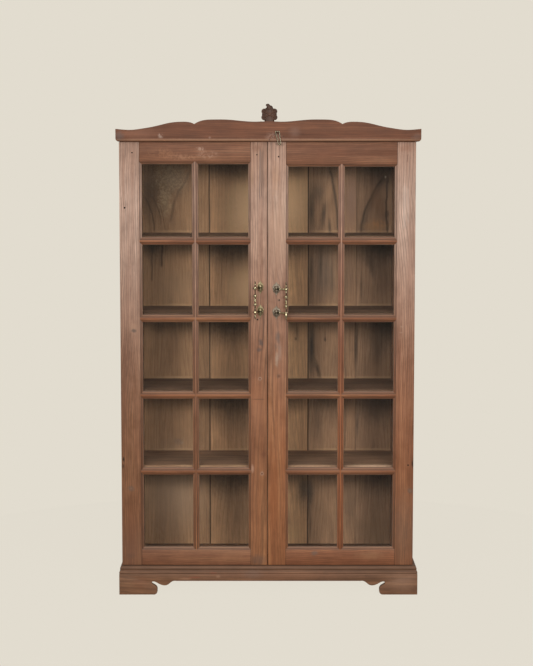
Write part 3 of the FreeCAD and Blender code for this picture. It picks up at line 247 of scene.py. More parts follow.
class CabinetTeak(bpy.types.PropertyGroup):
    upright_dark: colour("Upright, dark", "#6b432e", "Dark streaks of the doors' stiles")
    upright_middle: colour("Upright, middle", "#83583d", "Common colour of the doors' stiles")
    upright_pale: colour("Upright, pale", "#996c4d", "Pale streaks of the doors' stiles")
    painted_sheen_dark: colour("Painted sheen, dark", "#a37f6d", "Dark streaks of the sheen painted on the stiles")
    painted_sheen_pale: colour("Painted sheen, pale", "#cdb0a0", "Pale streaks of the sheen painted on the stiles")
    level_dark: colour("Level, dark", "#683f2a", "Dark streaks of the rails and cross bars")
    level_middle: colour("Level, middle", "#83563d", "Common colour of the rails and cross bars")
    level_pale: colour("Level, pale", "#a37352", "Pale streaks of the rails and cross bars")
    cornice_dark: colour("Cornice, dark", "#522e1b", "Dark streaks of the cornice")
    cornice_middle: colour("Cornice, middle", "#704229", "Common colour of the cornice")
    cornice_pale: colour("Cornice, pale", "#875335", "Pale streaks of the cornice")
    base_dark: colour("Base, dark", "#5b412f", "Dark streaks of the base boards")
    base_middle: colour("Base, middle", "#7c5841", "Common colour of the base boards")
    base_pale: colour("Base, pale", "#987053", "Pale streaks of the base boards")
    inside_dark: colour("Inside, dark", "#7d5f46", "Dark streaks of the back boards")
    inside_middle: colour("Inside, middle", "#9f7a59", "Common colour of the back boards")
    inside_pale: colour("Inside, pale", "#ba926b", "Pale streaks of the back boards")
    shelf_dark: colour("Shelf, dark", "#4d382a", "Dark streaks of the shelves")
    shelf_middle: colour("Shelf, middle", "#694b37", "Common colour of the shelves")
    shelf_pale: colour("Shelf, pale", "#815f47", "Pale streaks of the shelves")
    line: colour("Growth line", "#3d2a20", "The dark lines between growth rings, cracks and grime, and painted shade in hollows and on the cornice's top edge")
    dust_and_top_light: colour("Dust and top light", "#b79f8f", "Dry wax and dust on upward faces and rubbed places")


class CabinetMetal(bpy.types.PropertyGroup):
    brass: colour("Brass", "#d6caa6", "Brass that hands keep bright")
    worn_brass: colour("Waxed brass", "#a89d7c", "Brass gone olive brown under wax")
    dull_brass: colour("Dull brass", "#968b7c", "Brass gone brown and grey")
    iron: colour("Iron", "#3a3531", "Old iron")
    wire: colour("Wire", "#978e7a", "Drawn steel wire")
    glass: colour("Glass", "#fafcfa", "Old window glass")


class CabinetWear(bpy.types.PropertyGroup):
    edge: length("Rubbed edge", 1.2, "How far the boards' edges are rubbed round")
    peg_radius: length("Peg radius", 4.0, "Radius of the pegs in the doors' joints")
    peg_stand: length("Peg stand", 0.5, "How far the pegs stand out of the wood")


class CabinetStage(bpy.types.PropertyGroup):
    distance: length("Camera distance", 6750.0, "From the doors' face to the camera")
    height: length("Camera height", 1737.4, "Camera height above the floor")
    pitch: bpy.props.FloatProperty(
        name="Camera pitch", description="How far the camera looks down", subtype="ANGLE",
        default=math.radians(5.6), min=0.0, max=1.5)
    lens: bpy.props.FloatProperty(
        name="Lens", description="Focal length on a 36 mm sensor, in millimetres", default=90.6,
        min=10.0, max=300.0)
    floor: colour("Floor", "#e8e6e0", "The plain pale floor")
    backdrop: colour("Backdrop", "#e2dccf", "The plain pale background")
    lamps: bpy.props.FloatProperty(
        name="Lamps", description="Power of the studio lamps, in watts", default=133.0, min=0.0)
    air: bpy.props.FloatProperty(
        name="Air light", description="Strength of the even light from all round", default=0.2,
        min=0.0, max=2.0)


# Helpers


def add(tree, kind, inputs=None, **settings):
    """Adds one node, gives it its settings, and links or sets its inputs."""
    node = tree.nodes.new(kind)
    stops = settings.pop("stops", None)
    for name, value in settings.items():
        setattr(node, name, value)
    if stops:
        elements = node.color_ramp.elements
        while len(elements) < len(stops):
            elements.new(1.0)
        for element, (place, value) in zip(elements, stops):
            element.position = place
            element.color = value if hasattr(value, "__len__") else (value, value, value, 1.0)
    for key, value in (inputs or {}).items():
        socket = node.inputs[key]
        if isinstance(value, bpy.types.Node):
            value = value.outputs[0]
        if isinstance(value, bpy.types.NodeSocket):
            tree.links.new(value, socket)
        else:
            socket.default_value = value
    return node


SOCKETS = {float: "NodeSocketFloat", int: "NodeSocketInt", tuple: "NodeSocketVector"}


def node_group(name, kind, inputs, outputs=("Amount",), output_type="NodeSocketFloat"):
    """An empty node group: its tree, what it is given, and what it has to fill.

    Inputs are given by their defaults, or by the type of their socket where it has none.
    """
    tree = bpy.data.node_groups.new(name, kind)
    for label, default in inputs.items():
        bare = isinstance(default, str)
        socket = tree.interface.new_socket(label, in_out="INPUT",
                                           socket_type=default if bare else SOCKETS[type(default)])
        if not bare:
            socket.default_value = default
    for label in outputs:
        tree.interface.new_socket(label, in_out="OUTPUT", socket_type=output_type)
    return tree, tree.nodes.new("NodeGroupInput").outputs, tree.nodes.new("NodeGroupOutput").inputs


def new_material(name):
    """A material with no nodes yet, and its node tree."""
    material = bpy.data.materials.new(name)
    material.use_nodes = True
    material.node_tree.nodes.clear()
    return material, material.node_tree


def over(tree, below, tint, factor, amount=1.0):
    """The colour of a tint laid over the colour below, by a factor times an amount."""
    if amount != 1.0:
        factor = add(tree, "ShaderNodeMath", {0: factor, 1: amount}, operation="MULTIPLY", use_clamp=True)
    mixed = add(tree, "ShaderNodeMix", {"Factor": factor, "A": below, "B": tint}, data_type="RGBA")
    return mixed.outputs[2]


def streaks(part):
    """The dark, middle and pale colours of a part's wood, from the settings."""
    teak = bpy.context.scene.cabinet_teak
    return [getattr(teak, f"{part}_{tone}") for tone in ("dark", "middle", "pale")]


def toned(colours, tone):
    """Colours made paler or darker by a factor for each of red, green and blue."""
    return [tuple(min(1.0, c * t) for c, t in zip(tint, tone)) + (1.0,) for tint in colours]


def paint(node, material):
    """Gives a CAD node its finish."""
    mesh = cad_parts[node].data
    mesh.materials.clear()
    mesh.materials.append(material)


def new_piece(name, mesh, material, body):
    """Links a finished mesh, in place in the frame, as a piece that rides on a body."""
    piece = bpy.data.objects.new(name, mesh)
    bpy.context.scene.collection.objects.link(piece)
    mesh.materials.clear()
    mesh.materials.append(material)
    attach(piece, body)
    return piece


# Wood


def figure_group():
    """The figure of flat-sawn teak. The grain runs along Z of the point that it is given."""
    tree, given, result = node_group(
        "Teak figure", "ShaderNodeTree",
        {"Point": ORIGIN, "Seed": 0.0, "Ring": 0.009, "Pith": 0.0, "Depth": 0.05, "Lean": 0.02},
        ("Tone", "Rings", "Fibre", "Pores", "Mottle"))
    shift = add(tree, "ShaderNodeVectorMath", {0: (1.7, 0.9, 2.3), 3: given["Seed"]}, operation="SCALE")
    moved = add(tree, "ShaderNodeVectorMath", {0: given["Point"], 1: shift}, operation="ADD")

    def noise(scale, detail, roughness=0.5, output=0):
        stretched = add(tree, "ShaderNodeVectorMath", {0: moved, 1: scale}, operation="MULTIPLY")
        made = add(tree, "ShaderNodeTexNoise", {"Vector": stretched, "Scale": 1.0, "Detail": detail,
                                                "Roughness": roughness})
        return made.outputs[output]

    # Bands of tone about 90 mm across, streaks about 12 mm and fibres about 2 mm
    wide = noise((11.0, 11.0, 1.0), 2.0)
    streak = noise((85.0, 85.0, 2.2), 3.0, 0.6)
    fibre = noise((480.0, 480.0, 12.0), 2.0)
    sway = noise((4.5, 4.5, 1.4), 2.0, 0.5, 1)
    mottle = noise((24.0, 24.0, 13.0), 3.0, 0.6)
    # Vessels of teak are about 0.3 mm wide; these are drawn at 0.8 mm so that they show
    pore = noise((1250.0, 1250.0, 42.0), 1.0)
    pores = add(tree, "ShaderNodeMapRange", {0: pore, 1: 0.60, 2: 0.72, 3: 0.0, 4: 1.0})

    tone = add(tree, "ShaderNodeMath", {0: wide, 1: streak}, operation="ADD")
    tone = add(tree, "ShaderNodeMath", {0: tone, 1: 0.5}, operation="MULTIPLY")

    centred = add(tree, "ShaderNodeVectorMath", {0: sway, 1: (0.5, 0.5, 0.5)}, operation="SUBTRACT")
    swayed = add(tree, "ShaderNodeVectorMath", {0: centred, 1: (0.10, 0.04, 0.3), 2: given["Point"]},
                 operation="MULTIPLY_ADD")
    parts = add(tree, "ShaderNodeSeparateXYZ", {0: swayed})
    across = add(tree, "ShaderNodeMath", {0: parts.outputs[0], 1: given["Pith"]}, operation="SUBTRACT")
    square = add(tree, "ShaderNodeMath", {0: across, 1: across}, operation="MULTIPLY")
    depth = add(tree, "ShaderNodeMath", {0: given["Depth"], 1: 2.0}, operation="POWER")
    total = add(tree, "ShaderNodeMath", {0: square, 1: depth}, operation="ADD")
    radius = add(tree, "ShaderNodeMath", {0: total}, operation="SQRT")
    leaning = add(tree, "ShaderNodeMath", {0: parts.outputs[2], 1: given["Lean"], 2: radius},
                  operation="MULTIPLY_ADD")
    phase = add(tree, "ShaderNodeMath", {0: leaning, 1: given["Ring"]}, operation="DIVIDE")
    uneven = add(tree, "ShaderNodeMath", {0: wide, 1: 3.0, 2: phase}, operation="MULTIPLY_ADD")
    turn = add(tree, "ShaderNodeMath", {0: uneven, 1: math.tau}, operation="MULTIPLY")
    wave = add(tree, "ShaderNodeMath", {0: turn}, operation="SINE")
    lines = add(tree, "ShaderNodeMapRange", {0: wave, 1: 0.15, 2: 1.0, 3: 0.0, 4: 1.0},
                interpolation_type="SMOOTHSTEP")
    faint = add(tree, "ShaderNodeMapRange", {0: streak, 1: 0.35, 2: 0.62, 3: 0.15, 4: 1.0})
    rings = add(tree, "ShaderNodeMath", {0: lines, 1: faint}, operation="MULTIPLY")

    for label, socket in (("Tone", tone.outputs[0]), ("Rings", rings.outputs[0]), ("Fibre", fibre),
                          ("Pores", pores.outputs[0]), ("Mottle", mottle)):
        tree.links.new(socket, result[label])
    return tree


# What the node groups of spots and curls share: the ellipse that they fill, in metres
ELLIPSE = {"Point": ORIGIN, "Place": ORIGIN, "Reach": (0.01, 1.0, 0.01), "Turn": 0.0}


def spot_group():
    """A soft spot on the XZ plane, from 1 in its middle to 0 at its rim, with a ragged outline."""
    tree, given, result = node_group("Spot", "ShaderNodeTree", {**ELLIPSE, "Ragged": 1.1, "Hard": 0.15, "Lid": 100.0})
    away = add(tree, "ShaderNodeVectorMath", {0: given["Point"], 1: given["Place"]},
               operation="SUBTRACT")
    turned = add(tree, "ShaderNodeVectorRotate", {"Vector": away, "Angle": given["Turn"]},
                 rotation_type="Y_AXIS")
    shared = add(tree, "ShaderNodeVectorMath", {0: turned, 1: given["Reach"]}, operation="DIVIDE")
    flat = add(tree, "ShaderNodeVectorMath", {0: shared, 1: (1.0, 0.0, 1.0)}, operation="MULTIPLY")
    rough = add(tree, "ShaderNodeTexNoise", {"Vector": given["Point"], "Scale": 75.0, "Detail": 5.0,
                                             "Roughness": 0.7})
    swing = add(tree, "ShaderNodeMath", {0: rough.outputs[0], 1: 0.5}, operation="SUBTRACT")
    span = add(tree, "ShaderNodeVectorMath", {0: flat}, operation="LENGTH")
    ragged = add(tree, "ShaderNodeMath", {0: swing, 1: given["Ragged"], 2: span.outputs["Value"]},
                 operation="MULTIPLY_ADD")
    amount = add(tree, "ShaderNodeMapRange", {0: ragged, 1: 1.0, 2: given["Hard"], 3: 0.0, 4: 1.0},
                 interpolation_type="SMOOTHSTEP")
    parts = add(tree, "ShaderNodeSeparateXYZ", {0: given["Point"]})
    under = add(tree, "ShaderNodeMath", {0: parts.outputs[2], 1: given["Lid"]}, operation="LESS_THAN")
    amount = add(tree, "ShaderNodeMath", {0: amount, 1: under}, operation="MULTIPLY")
    tree.links.new(amount.outputs[0], result["Amount"])
    return tree


def curl_group():
    """Curled figure, as in a burl or around a knot, that fades out towards the rim of its ellipse."""
    tree, given, result = node_group("Curl", "ShaderNodeTree", ELLIPSE)
    ellipse = {label: given[label] for label in ELLIPSE}
    soft = add(tree, "ShaderNodeGroup", {**ellipse, "Ragged": 0.5, "Hard": 0.3}, node_tree=shared_group("spot"))
    figure = add(tree, "ShaderNodeTexNoise", {"Vector": given["Point"], "Scale": 45.0, "Detail": 4.0,
                                              "Roughness": 0.65, "Distortion": 2.2})
    bands = add(tree, "ShaderNodeMapRange", {0: figure.outputs[0], 1: 0.44, 2: 0.60, 3: 0.05, 4: 1.0},
                interpolation_type="SMOOTHSTEP")
    amount = add(tree, "ShaderNodeMath", {0: soft, 1: bands}, operation="MULTIPLY")
    tree.links.new(amount.outputs[0], result["Amount"])
    return tree


def line_group():
    """A dark line that runs up a board: it bends, sways, and fades out at both ends."""
    tree, given, result = node_group(
        "Grain line", "ShaderNodeTree",
        {"Point": ORIGIN, "Foot X": 0.0, "Foot Z": 0.0, "Rise": 0.1, "Lean": 0.0, "Bend": 0.0, "Half width": 0.002,
         "Sway": 0.01})
    slow = add(tree, "ShaderNodeTexNoise", {"Vector": given["Point"], "Scale": 9.0, "Detail": 2.0})
    parts = add(tree, "ShaderNodeSeparateXYZ", {0: given["Point"]})
    up = add(tree, "ShaderNodeMath", {0: parts.outputs[2], 1: given["Foot Z"]}, operation="SUBTRACT")
    share = add(tree, "ShaderNodeMath", {0: up, 1: given["Rise"]}, operation="DIVIDE")
    square = add(tree, "ShaderNodeMath", {0: share, 1: share}, operation="MULTIPLY")
    lean = add(tree, "ShaderNodeMath", {0: share, 1: given["Lean"], 2: given["Foot X"]},
               operation="MULTIPLY_ADD")
    bend = add(tree, "ShaderNodeMath", {0: square, 1: given["Bend"], 2: lean}, operation="MULTIPLY_ADD")
    off = add(tree, "ShaderNodeMath", {0: slow.outputs[0], 1: 0.5}, operation="SUBTRACT")
    swung = add(tree, "ShaderNodeMath", {0: off, 1: given["Sway"], 2: bend}, operation="MULTIPLY_ADD")
    away = add(tree, "ShaderNodeMath", {0: parts.outputs[0], 1: swung}, operation="SUBTRACT")
    side = add(tree, "ShaderNodeMath", {0: away}, operation="ABSOLUTE")
    near = add(tree, "ShaderNodeMapRange", {0: side, 1: given["Half width"], 2: 0.0, 3: 0.0, 4: 1.0},
               interpolation_type="SMOOTHSTEP")
    rest = add(tree, "ShaderNodeMath", {0: 1.0, 1: share}, operation="SUBTRACT")
    ends = add(tree, "ShaderNodeMath", {0: share, 1: rest}, operation="MINIMUM")
    fade = add(tree, "ShaderNodeMapRange", {0: ends, 1: 0.0, 2: 0.12, 3: 0.0, 4: 1.0}, interpolation_type="SMOOTHSTEP")
    amount = add(tree, "ShaderNodeMath", {0: near, 1: fade}, operation="MULTIPLY")
    tree.links.new(amount.outputs[0], result["Amount"])
    return tree


GROUPS = {}


def shared_group(name):
    """The node groups that all wood materials use, made once."""
    if name not in GROUPS:
        makers = {"figure": figure_group, "spot": spot_group, "curl": curl_group, "line": line_group}
        GROUPS[name] = makers[name]()
    return GROUPS[name]


def wood(name, grain, seed, colours, ring=9.0, pith=0.0, depth=50.0, lean=0.02, rings=0.25, fibre=0.28,
         spread=0.19, dust_and_top_light=0.3, upward_colour=None, roughness=0.55, painted_sheen=None, hollow=None, marks=(), level=False):
    """One board's finish. Grain is the axis that the fibres follow; lengths are in millimetres.

    Colours are dark, middle and pale; a greater spread makes their streaks fainter.
    Painted sheen is (dark, pale, stops of height and amount), a sheen painted on by height. The upward colour is what
    lies on upward faces, a dusty film with painted top light unless it is given.
    Hollow is (level of the front face, stops of depth and grime with painted shade, stops of depth and paleness or
    none).
    Marks lie on the front face, along XZ. Those of a level board lie on its upper face, along XY, and its edge.
    A mark is (kind, x, z, half width, half height, turn, colour, amount), where kind is "spot" for a ragged spot,
    "soft" for a blurred one and "curl" for a curled figure; or ("shade", x, z, half width, drop, colour, amount)
    for soot and painted shadow that hang from z; or ("line", foot x, foot z, rise, lean, bend, half width, sway,
    colour, amount).
    """
    teak = bpy.context.scene.cabinet_teak
    material, tree = new_material(name)
    place = add(tree, "ShaderNodeTexCoord")
    point = place.outputs["Object"]
    parts = add(tree, "ShaderNodeSeparateXYZ", {0: point})
    # The axes of the point, put in such an order that the grain runs along Z
    order = {"X": (2, 1, 0), "Y": (0, 2, 1), "Z": (0, 1, 2)}[grain]
    along = add(tree, "ShaderNodeCombineXYZ", {i: parts.outputs[axis] for i, axis in enumerate(order)})
    figure = add(tree, "ShaderNodeGroup", {"Point": along, "Seed": seed, "Ring": ring * MM, "Pith": pith * MM,
                                           "Depth": depth * MM, "Lean": lean}, node_tree=shared_group("figure"))

    dark, middle, pale = colours
    current = add(tree, "ShaderNodeValToRGB", {0: figure.outputs["Tone"]},
                  stops=((0.5 - spread, dark), (0.5, middle), (0.5 + spread, pale))).outputs[0]
    # Painted sheen: the uprights are paler in patches higher up, standing for the lamps' sheen on their wax
    if painted_sheen:
        low, high, stops = painted_sheen
        wear_and_sheen = add(tree, "ShaderNodeValToRGB", {0: figure.outputs["Tone"]},
                   stops=((0.5 - spread, low), (0.5 + spread, high)))
        share = add(tree, "ShaderNodeMath", {0: parts.outputs[2], 1: 0.5}, operation="MULTIPLY")
        amount = add(tree, "ShaderNodeValToRGB", {0: share}, stops=[(z * MM / 2.0, a) for z, a in stops])
        patchy = add(tree, "ShaderNodeMath", {0: figure.outputs["Mottle"], 1: 0.5}, operation="SUBTRACT")
        uneven = add(tree, "ShaderNodeMath", {0: patchy, 1: 0.35, 2: amount}, operation="MULTIPLY_ADD",
                     use_clamp=True)
        gated = add(tree, "ShaderNodeMath", {0: uneven, 1: amount}, operation="MINIMUM")
        current = over(tree, current, wear_and_sheen, gated)
    current = over(tree, current, teak.line, figure.outputs["Rings"], rings)
    shade, patch = (add(tree, "ShaderNodeMapRange", {0: figure.outputs[label], 1: 0.3, 2: 0.7,
                                                     3: 1.0 - swing / 2.0, 4: 1.0 + swing / 2.0})
                    for label, swing in (("Fibre", fibre), ("Mottle", MOTTLE)))
    both = add(tree, "ShaderNodeMath", {0: shade, 1: patch}, operation="MULTIPLY")
    current = add(tree, "ShaderNodeVectorMath", {0: current, 3: both}, operation="SCALE").outputs[0]
    current = over(tree, current, teak.line, figure.outputs["Pores"], 0.3)
    facing = add(tree, "ShaderNodeSeparateXYZ", {0: place.outputs["Normal"]})
    if marks:
        board = point
        shown = add(tree, "ShaderNodeMath", {0: facing.outputs[1], 1: -1.0}, operation="MULTIPLY")
        if level:
            board = add(tree, "ShaderNodeCombineXYZ", {0: parts.outputs[0], 2: parts.outputs[1]}).outputs[0]
            shown = add(tree, "ShaderNodeMath", {0: shown, 1: facing.outputs[2]}, operation="MAXIMUM")
        shown = add(tree, "ShaderNodeMath", {0: shown, 1: 0.1}, operation="GREATER_THAN")
        plain = current
        for mark in marks:
            current = marked(tree, board, current, mark)
        current = over(tree, plain, current, shown)

    # Grime and painted shade darken the hollows behind the front face, and rubbing pales the arrises
    if hollow:
        face, grime_and_shade, arris = hollow
        inward = add(tree, "ShaderNodeMapRange", {0: parts.outputs[1], 1: face, 2: face + HOLLOW_REACH * MM,
                                                  3: 0.0, 4: 1.0})
        for stops, tint in ((grime_and_shade, teak.line), (arris, teak.dust_and_top_light)):
            if stops:
                amount = add(tree, "ShaderNodeValToRGB", {0: inward}, stops=[(d / HOLLOW_REACH, a) for d, a in stops])
                current = over(tree, current, tint, amount)

    # Dry wax and dust lie on whatever faces up, and the upward colour also paints top light there, or painted shade
    # where a dark one is given
    upward = add(tree, "ShaderNodeMapRange", {0: facing.outputs[2], 1: 0.15, 2: 0.9, 3: 0.0, 4: dust_and_top_light})
    current = over(tree, current, upward_colour or teak.dust_and_top_light, upward)

    relief = add(tree, "ShaderNodeMath", {0: figure.outputs["Pores"], 1: -0.6, 2: figure.outputs["Fibre"]},
                 operation="MULTIPLY_ADD")
    bump = add(tree, "ShaderNodeBump", {"Height": relief, "Strength": 0.35, "Distance": 0.0004})
    gloss = add(tree, "ShaderNodeMapRange", {0: figure.outputs["Tone"], 1: 0.3, 2: 0.7, 3: roughness + 0.08,
                                             4: roughness - 0.08})
    shader = add(tree, "ShaderNodeBsdfPrincipled", {"Base Color": current, "Roughness": gloss,
                                                    "Normal": bump, "IOR": 1.5, "Specular IOR Level": 0.35})
    add(tree, "ShaderNodeOutputMaterial", {"Surface": shader})
    return material


def marked(tree, point, current, mark):
    """Lays one knot, crack, stain, scuff, painted shadow or pool of painted light over the colour."""
    kind, *values = mark
    soft = {"Ragged": 0.35, "Hard": 0.0}
    if kind == "line":
        x, z, rise, lean, bend, half, sway, code, amount = values
        settings = {"Foot X": x * MM, "Foot Z": z * MM, "Rise": rise * MM, "Lean": lean * MM, "Bend": bend * MM,
                    "Half width": half * MM, "Sway": sway * MM}
    elif kind == "shade":
        x, z, wide, drop, code, amount = values
        settings = {"Place": (x * MM, 0.0, z * MM), "Reach": (wide * MM, 1.0, drop * MM), "Lid": z * MM, **soft}
    else:
        x, z, wide, high, turn, code, amount = values
        settings = {"Place": (x * MM, 0.0, z * MM), "Reach": (wide * MM, 1.0, high * MM), "Turn": math.radians(turn)}
        if kind == "soft":
            settings.update(soft)
    group = shared_group({"line": "line", "curl": "curl"}.get(kind, "spot"))
    shape = add(tree, "ShaderNodeGroup", {"Point": point, **settings}, node_tree=group)
    return over(tree, current, linear(code), shape, amount)


def upright_line(x, half, sway, code, amount):
    """The mark of a line up a whole board, where x, half width and sway are in millimetres."""
    return ("line", x, -300.0, 2700.0, 0.0, 0.0, half, sway, code, amount)


# Metal and glass


# The colour of dirt and old wax between the beads of a handle, and of the painted shade on its arms by the pins
GRIME_AND_SHADE = "#2b2317"


def metal(name, tint, dark, roughness, scale, spread=0.5, grime_and_shade=()):
    """Old metal: bright where it is rubbed, and brown in its hollows.

    Grime and painted shade list upright axes as (x, y, near, far): each is thick up to near and gone at far, in metres.
    """
    material, tree = new_material(name)
    point = add(tree, "ShaderNodeTexCoord").outputs["Object"]
    patches = add(tree, "ShaderNodeTexNoise", {"Vector": point, "Scale": scale, "Detail": 4.0, "Roughness": 0.65})
    fine = add(tree, "ShaderNodeTexNoise", {"Vector": point, "Scale": scale * 6.0, "Detail": 2.0})
    stained = add(tree, "ShaderNodeMapRange", {0: patches.outputs[0], 1: 0.42, 2: 0.70, 3: 0.0, 4: spread})
    current = over(tree, tint, dark, stained)
    for x, y, near, far in grime_and_shade:
        away = add(tree, "ShaderNodeVectorMath", {0: point, 1: (x, y, 0.0)}, operation="SUBTRACT")
        flat = add(tree, "ShaderNodeVectorMath", {0: away, 1: (1.0, 1.0, 0.0)}, operation="MULTIPLY")
        span = add(tree, "ShaderNodeVectorMath", {0: flat}, operation="LENGTH")
        thick = add(tree, "ShaderNodeMapRange", {0: span.outputs["Value"], 1: near, 2: far, 3: 0.85, 4: 0.0})
        current = over(tree, current, linear(GRIME_AND_SHADE), thick)
    gloss = add(tree, "ShaderNodeMapRange", {0: patches.outputs[0], 1: 0.35, 2: 0.70, 3: roughness,
                                             4: roughness + 0.25})
    bump = add(tree, "ShaderNodeBump", {"Height": fine.outputs[0], "Strength": 0.2, "Distance": 0.0003})
    shader = add(tree, "ShaderNodeBsdfPrincipled", {"Base Color": current, "Roughness": gloss,
                                                    "Metallic": 1.0, "Normal": bump})
    add(tree, "ShaderNodeOutputMaterial", {"Surface": shader})
    return material


def window_glass(tint):
    """Old drawn window glass, 3 mm: clear and faintly wavy. Lamps shine straight through it."""
    material, tree = new_material("window glass, old drawn")
    place = add(tree, "ShaderNodeTexCoord")
    waves = add(tree, "ShaderNodeTexNoise", {"Vector": place.outputs["Object"], "Scale": 7.0, "Detail": 1.0})
    bump = add(tree, "ShaderNodeBump", {"Height": waves.outputs[0], "Strength": 0.1, "Distance": 0.002})
    # Window glass is 1.5; a lower value keeps the pale studio from veiling the shelves
    shader = add(tree, "ShaderNodeBsdfPrincipled", {"Base Color": tint, "Roughness": 0.02, "IOR": 1.25,
                                                    "Transmission Weight": 1.0, "Normal": bump})
    clear = add(tree, "ShaderNodeBsdfTransparent")
    path = add(tree, "ShaderNodeLightPath")
    lit = add(tree, "ShaderNodeMath", {0: path.outputs["Is Shadow Ray"], 1: path.outputs["Is Diffuse Ray"]},
              operation="MAXIMUM")
    mixed = add(tree, "ShaderNodeMixShader", {0: lit, 1: shader, 2: clear})
    add(tree, "ShaderNodeOutputMaterial", {"Surface": mixed})
    return material


# Shapes


def welded(node):
    """A CAD node's shape as one welded surface, with its flat faces joined."""
    shape = bmesh.new()
    shape.from_mesh(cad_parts[node].data)
    bmesh.ops.remove_doubles(shape, verts=shape.verts, dist=WELD)
    bmesh.ops.dissolve_limit(shape, angle_limit=FLAT, verts=shape.verts, edges=shape.edges)
    return shape


def finished(shape, name):
    """Closes a shape into a mesh, smooth but for its sharp edges."""
    mesh = bpy.data.meshes.new(name)
    bmesh.ops.recalc_face_normals(shape, faces=shape.faces)
    shape.to_mesh(mesh)
    shape.free()
    mesh.shade_smooth()
    mesh.set_sharp_from_angle(angle=SHARP)
    return mesh


def rubbed(node, material, body, wear=1.0):
    """Puts a copy with rubbed, rounded edges in place of a board. Wear scales how far they are rubbed."""
    shape = welded(node)
    edges = [edge for edge in shape.edges if len(edge.link_faces) == 2 and edge.calc_face_angle(0.0) > SHARP]
    bmesh.ops.bevel(shape, geom=edges, offset=wear * bpy.context.scene.cabinet_wear.edge, offset_type="OFFSET",
                    segments=2, profile=0.5, affect="EDGES", clamp_overlap=True)
    piece = new_piece(f"{node}_rubbed", finished(shape, node), material, body)
    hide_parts(node)


def turned(shape, profile, place, sides):
    """Adds a closed lathe-turned form. Profile lists (along, radius); place maps Z to its axis."""
    rings = []
    for along, radius in profile:
        rings.append([shape.verts.new(place @ Vector((radius * math.cos(math.tau * i / sides),
                                                      radius * math.sin(math.tau * i / sides), along)))
                      for i in range(sides)])
    for low, high in zip(rings, rings[1:]):
        for i in range(sides):
            shape.faces.new((low[i], low[(i + 1) % sides], high[(i + 1) % sides], high[i]))
    shape.faces.new(list(reversed(rings[0])))
    shape.faces.new(rings[-1])


def beaded(low, high, rod, beads, step=0.7 * MM):
    """A lathe profile: a rod with beads on it, each given as (place, radius, half length)."""
    count = max(2, round((high - low) / step))
    profile = []
    for i in range(count + 1):
        along = low + (high - low) * i / count
        radius = rod
        for place, bead, half in beads:
            share = (along - place) / half
            if abs(share) < 1.0:
                radius = max(radius, bead * math.sqrt(1.0 - share * share))
        profile.append((along, radius))
    return profile


def smooth_loop(points, count):
    """Evenly shared points on a closed smooth curve through the given ones."""
    result = []
    for i in range(count):
        place = i * len(points) / count
        k, t = int(place), place - int(place)
        a, b, c, d = (Vector(points[(k + j) % len(points)]) for j in (-1, 0, 1, 2))
        result.append(0.5 * ((2.0 * b) + (c - a) * t + (2.0 * a - 5.0 * b + 4.0 * c - d) * t * t
                             + (3.0 * b - a - 3.0 * c + d) * t ** 3))
    return result


def stacked(shape, loops):
    """Joins loops of points, in order, into one closed form with a flat face at each end."""
    rings = [[shape.verts.new(point) for point in loop] for loop in loops]
    for low, high in zip(rings, rings[1:]):
        for i in range(len(low)):
            j = (i + 1) % len(low)
            shape.faces.new((low[i], low[j], high[j], high[i]))
    shape.faces.new(list(reversed(rings[0])))
    shape.faces.new(rings[-1])


def nail_tree():
    """Low domed heads, one on each point, each a little larger or smaller and turned at random."""
    tree, given, result = node_group(
        "Cabinet nail heads", "GeometryNodeTree",
        {"Geometry": "NodeSocketGeometry", "Radius": 0.003, "Stand": 0.0005, "Seed": 7,
         "Material": "NodeSocketMaterial"}, ("Geometry",), "NodeSocketGeometry")
    ball = add(tree, "GeometryNodeMeshUVSphere", {"Segments": 14, "Rings": 8, "Radius": given["Radius"]})
    flat = add(tree, "ShaderNodeMath", {0: given["Stand"], 1: given["Radius"]}, operation="DIVIDE")
    size = add(tree, "FunctionNodeRandomValue", {2: 0.85, 3: 1.15, "Seed": given["Seed"]}, data_type="FLOAT")
    low = add(tree, "ShaderNodeMath", {0: size.outputs[1], 1: flat}, operation="MULTIPLY")
    scale = add(tree, "ShaderNodeCombineXYZ", {0: size.outputs[1], 1: low, 2: size.outputs[1]})
    turn = add(tree, "FunctionNodeRandomValue", {0: ORIGIN, 1: (0.0, math.tau, 0.0),
                                                 "Seed": given["Seed"]}, data_type="FLOAT_VECTOR")
    placed = add(tree, "GeometryNodeInstanceOnPoints", {"Points": given["Geometry"], "Instance": ball,
                                                        "Rotation": turn.outputs[0], "Scale": scale})
    real = add(tree, "GeometryNodeRealizeInstances", {0: placed})
    coated = add(tree, "GeometryNodeSetMaterial", {"Geometry": real, "Material": given["Material"]})
    tree.links.new(coated.outputs[0], result["Geometry"])
    return tree


def grown(name, tree, points, inputs, material, body):
    """Runs a node tree over points and keeps what it makes as a plain mesh on one body."""
    seeds = bpy.data.meshes.new(f"{name}_points")
    seeds.from_pydata(points, [], [])
    holder = bpy.data.objects.new(f"{name}_points", seeds)
    bpy.context.scene.collection.objects.link(holder)
    modifier = holder.modifiers.new("nodes", "NODES")
    modifier.node_group = tree
    values = dict(inputs, Material=material)
    for item in tree.interface.items_tree:
        if item.item_type == "SOCKET" and item.in_out == "INPUT" and item.name in values:
            modifier[item.identifier] = values[item.name]
    view = bpy.context.evaluated_depsgraph_get()
    mesh = bpy.data.meshes.new_from_object(holder.evaluated_get(view), depsgraph=view)
    bpy.data.objects.remove(holder)
    mesh.shade_smooth()
    return new_piece(name, mesh, material, body)


# Pieces


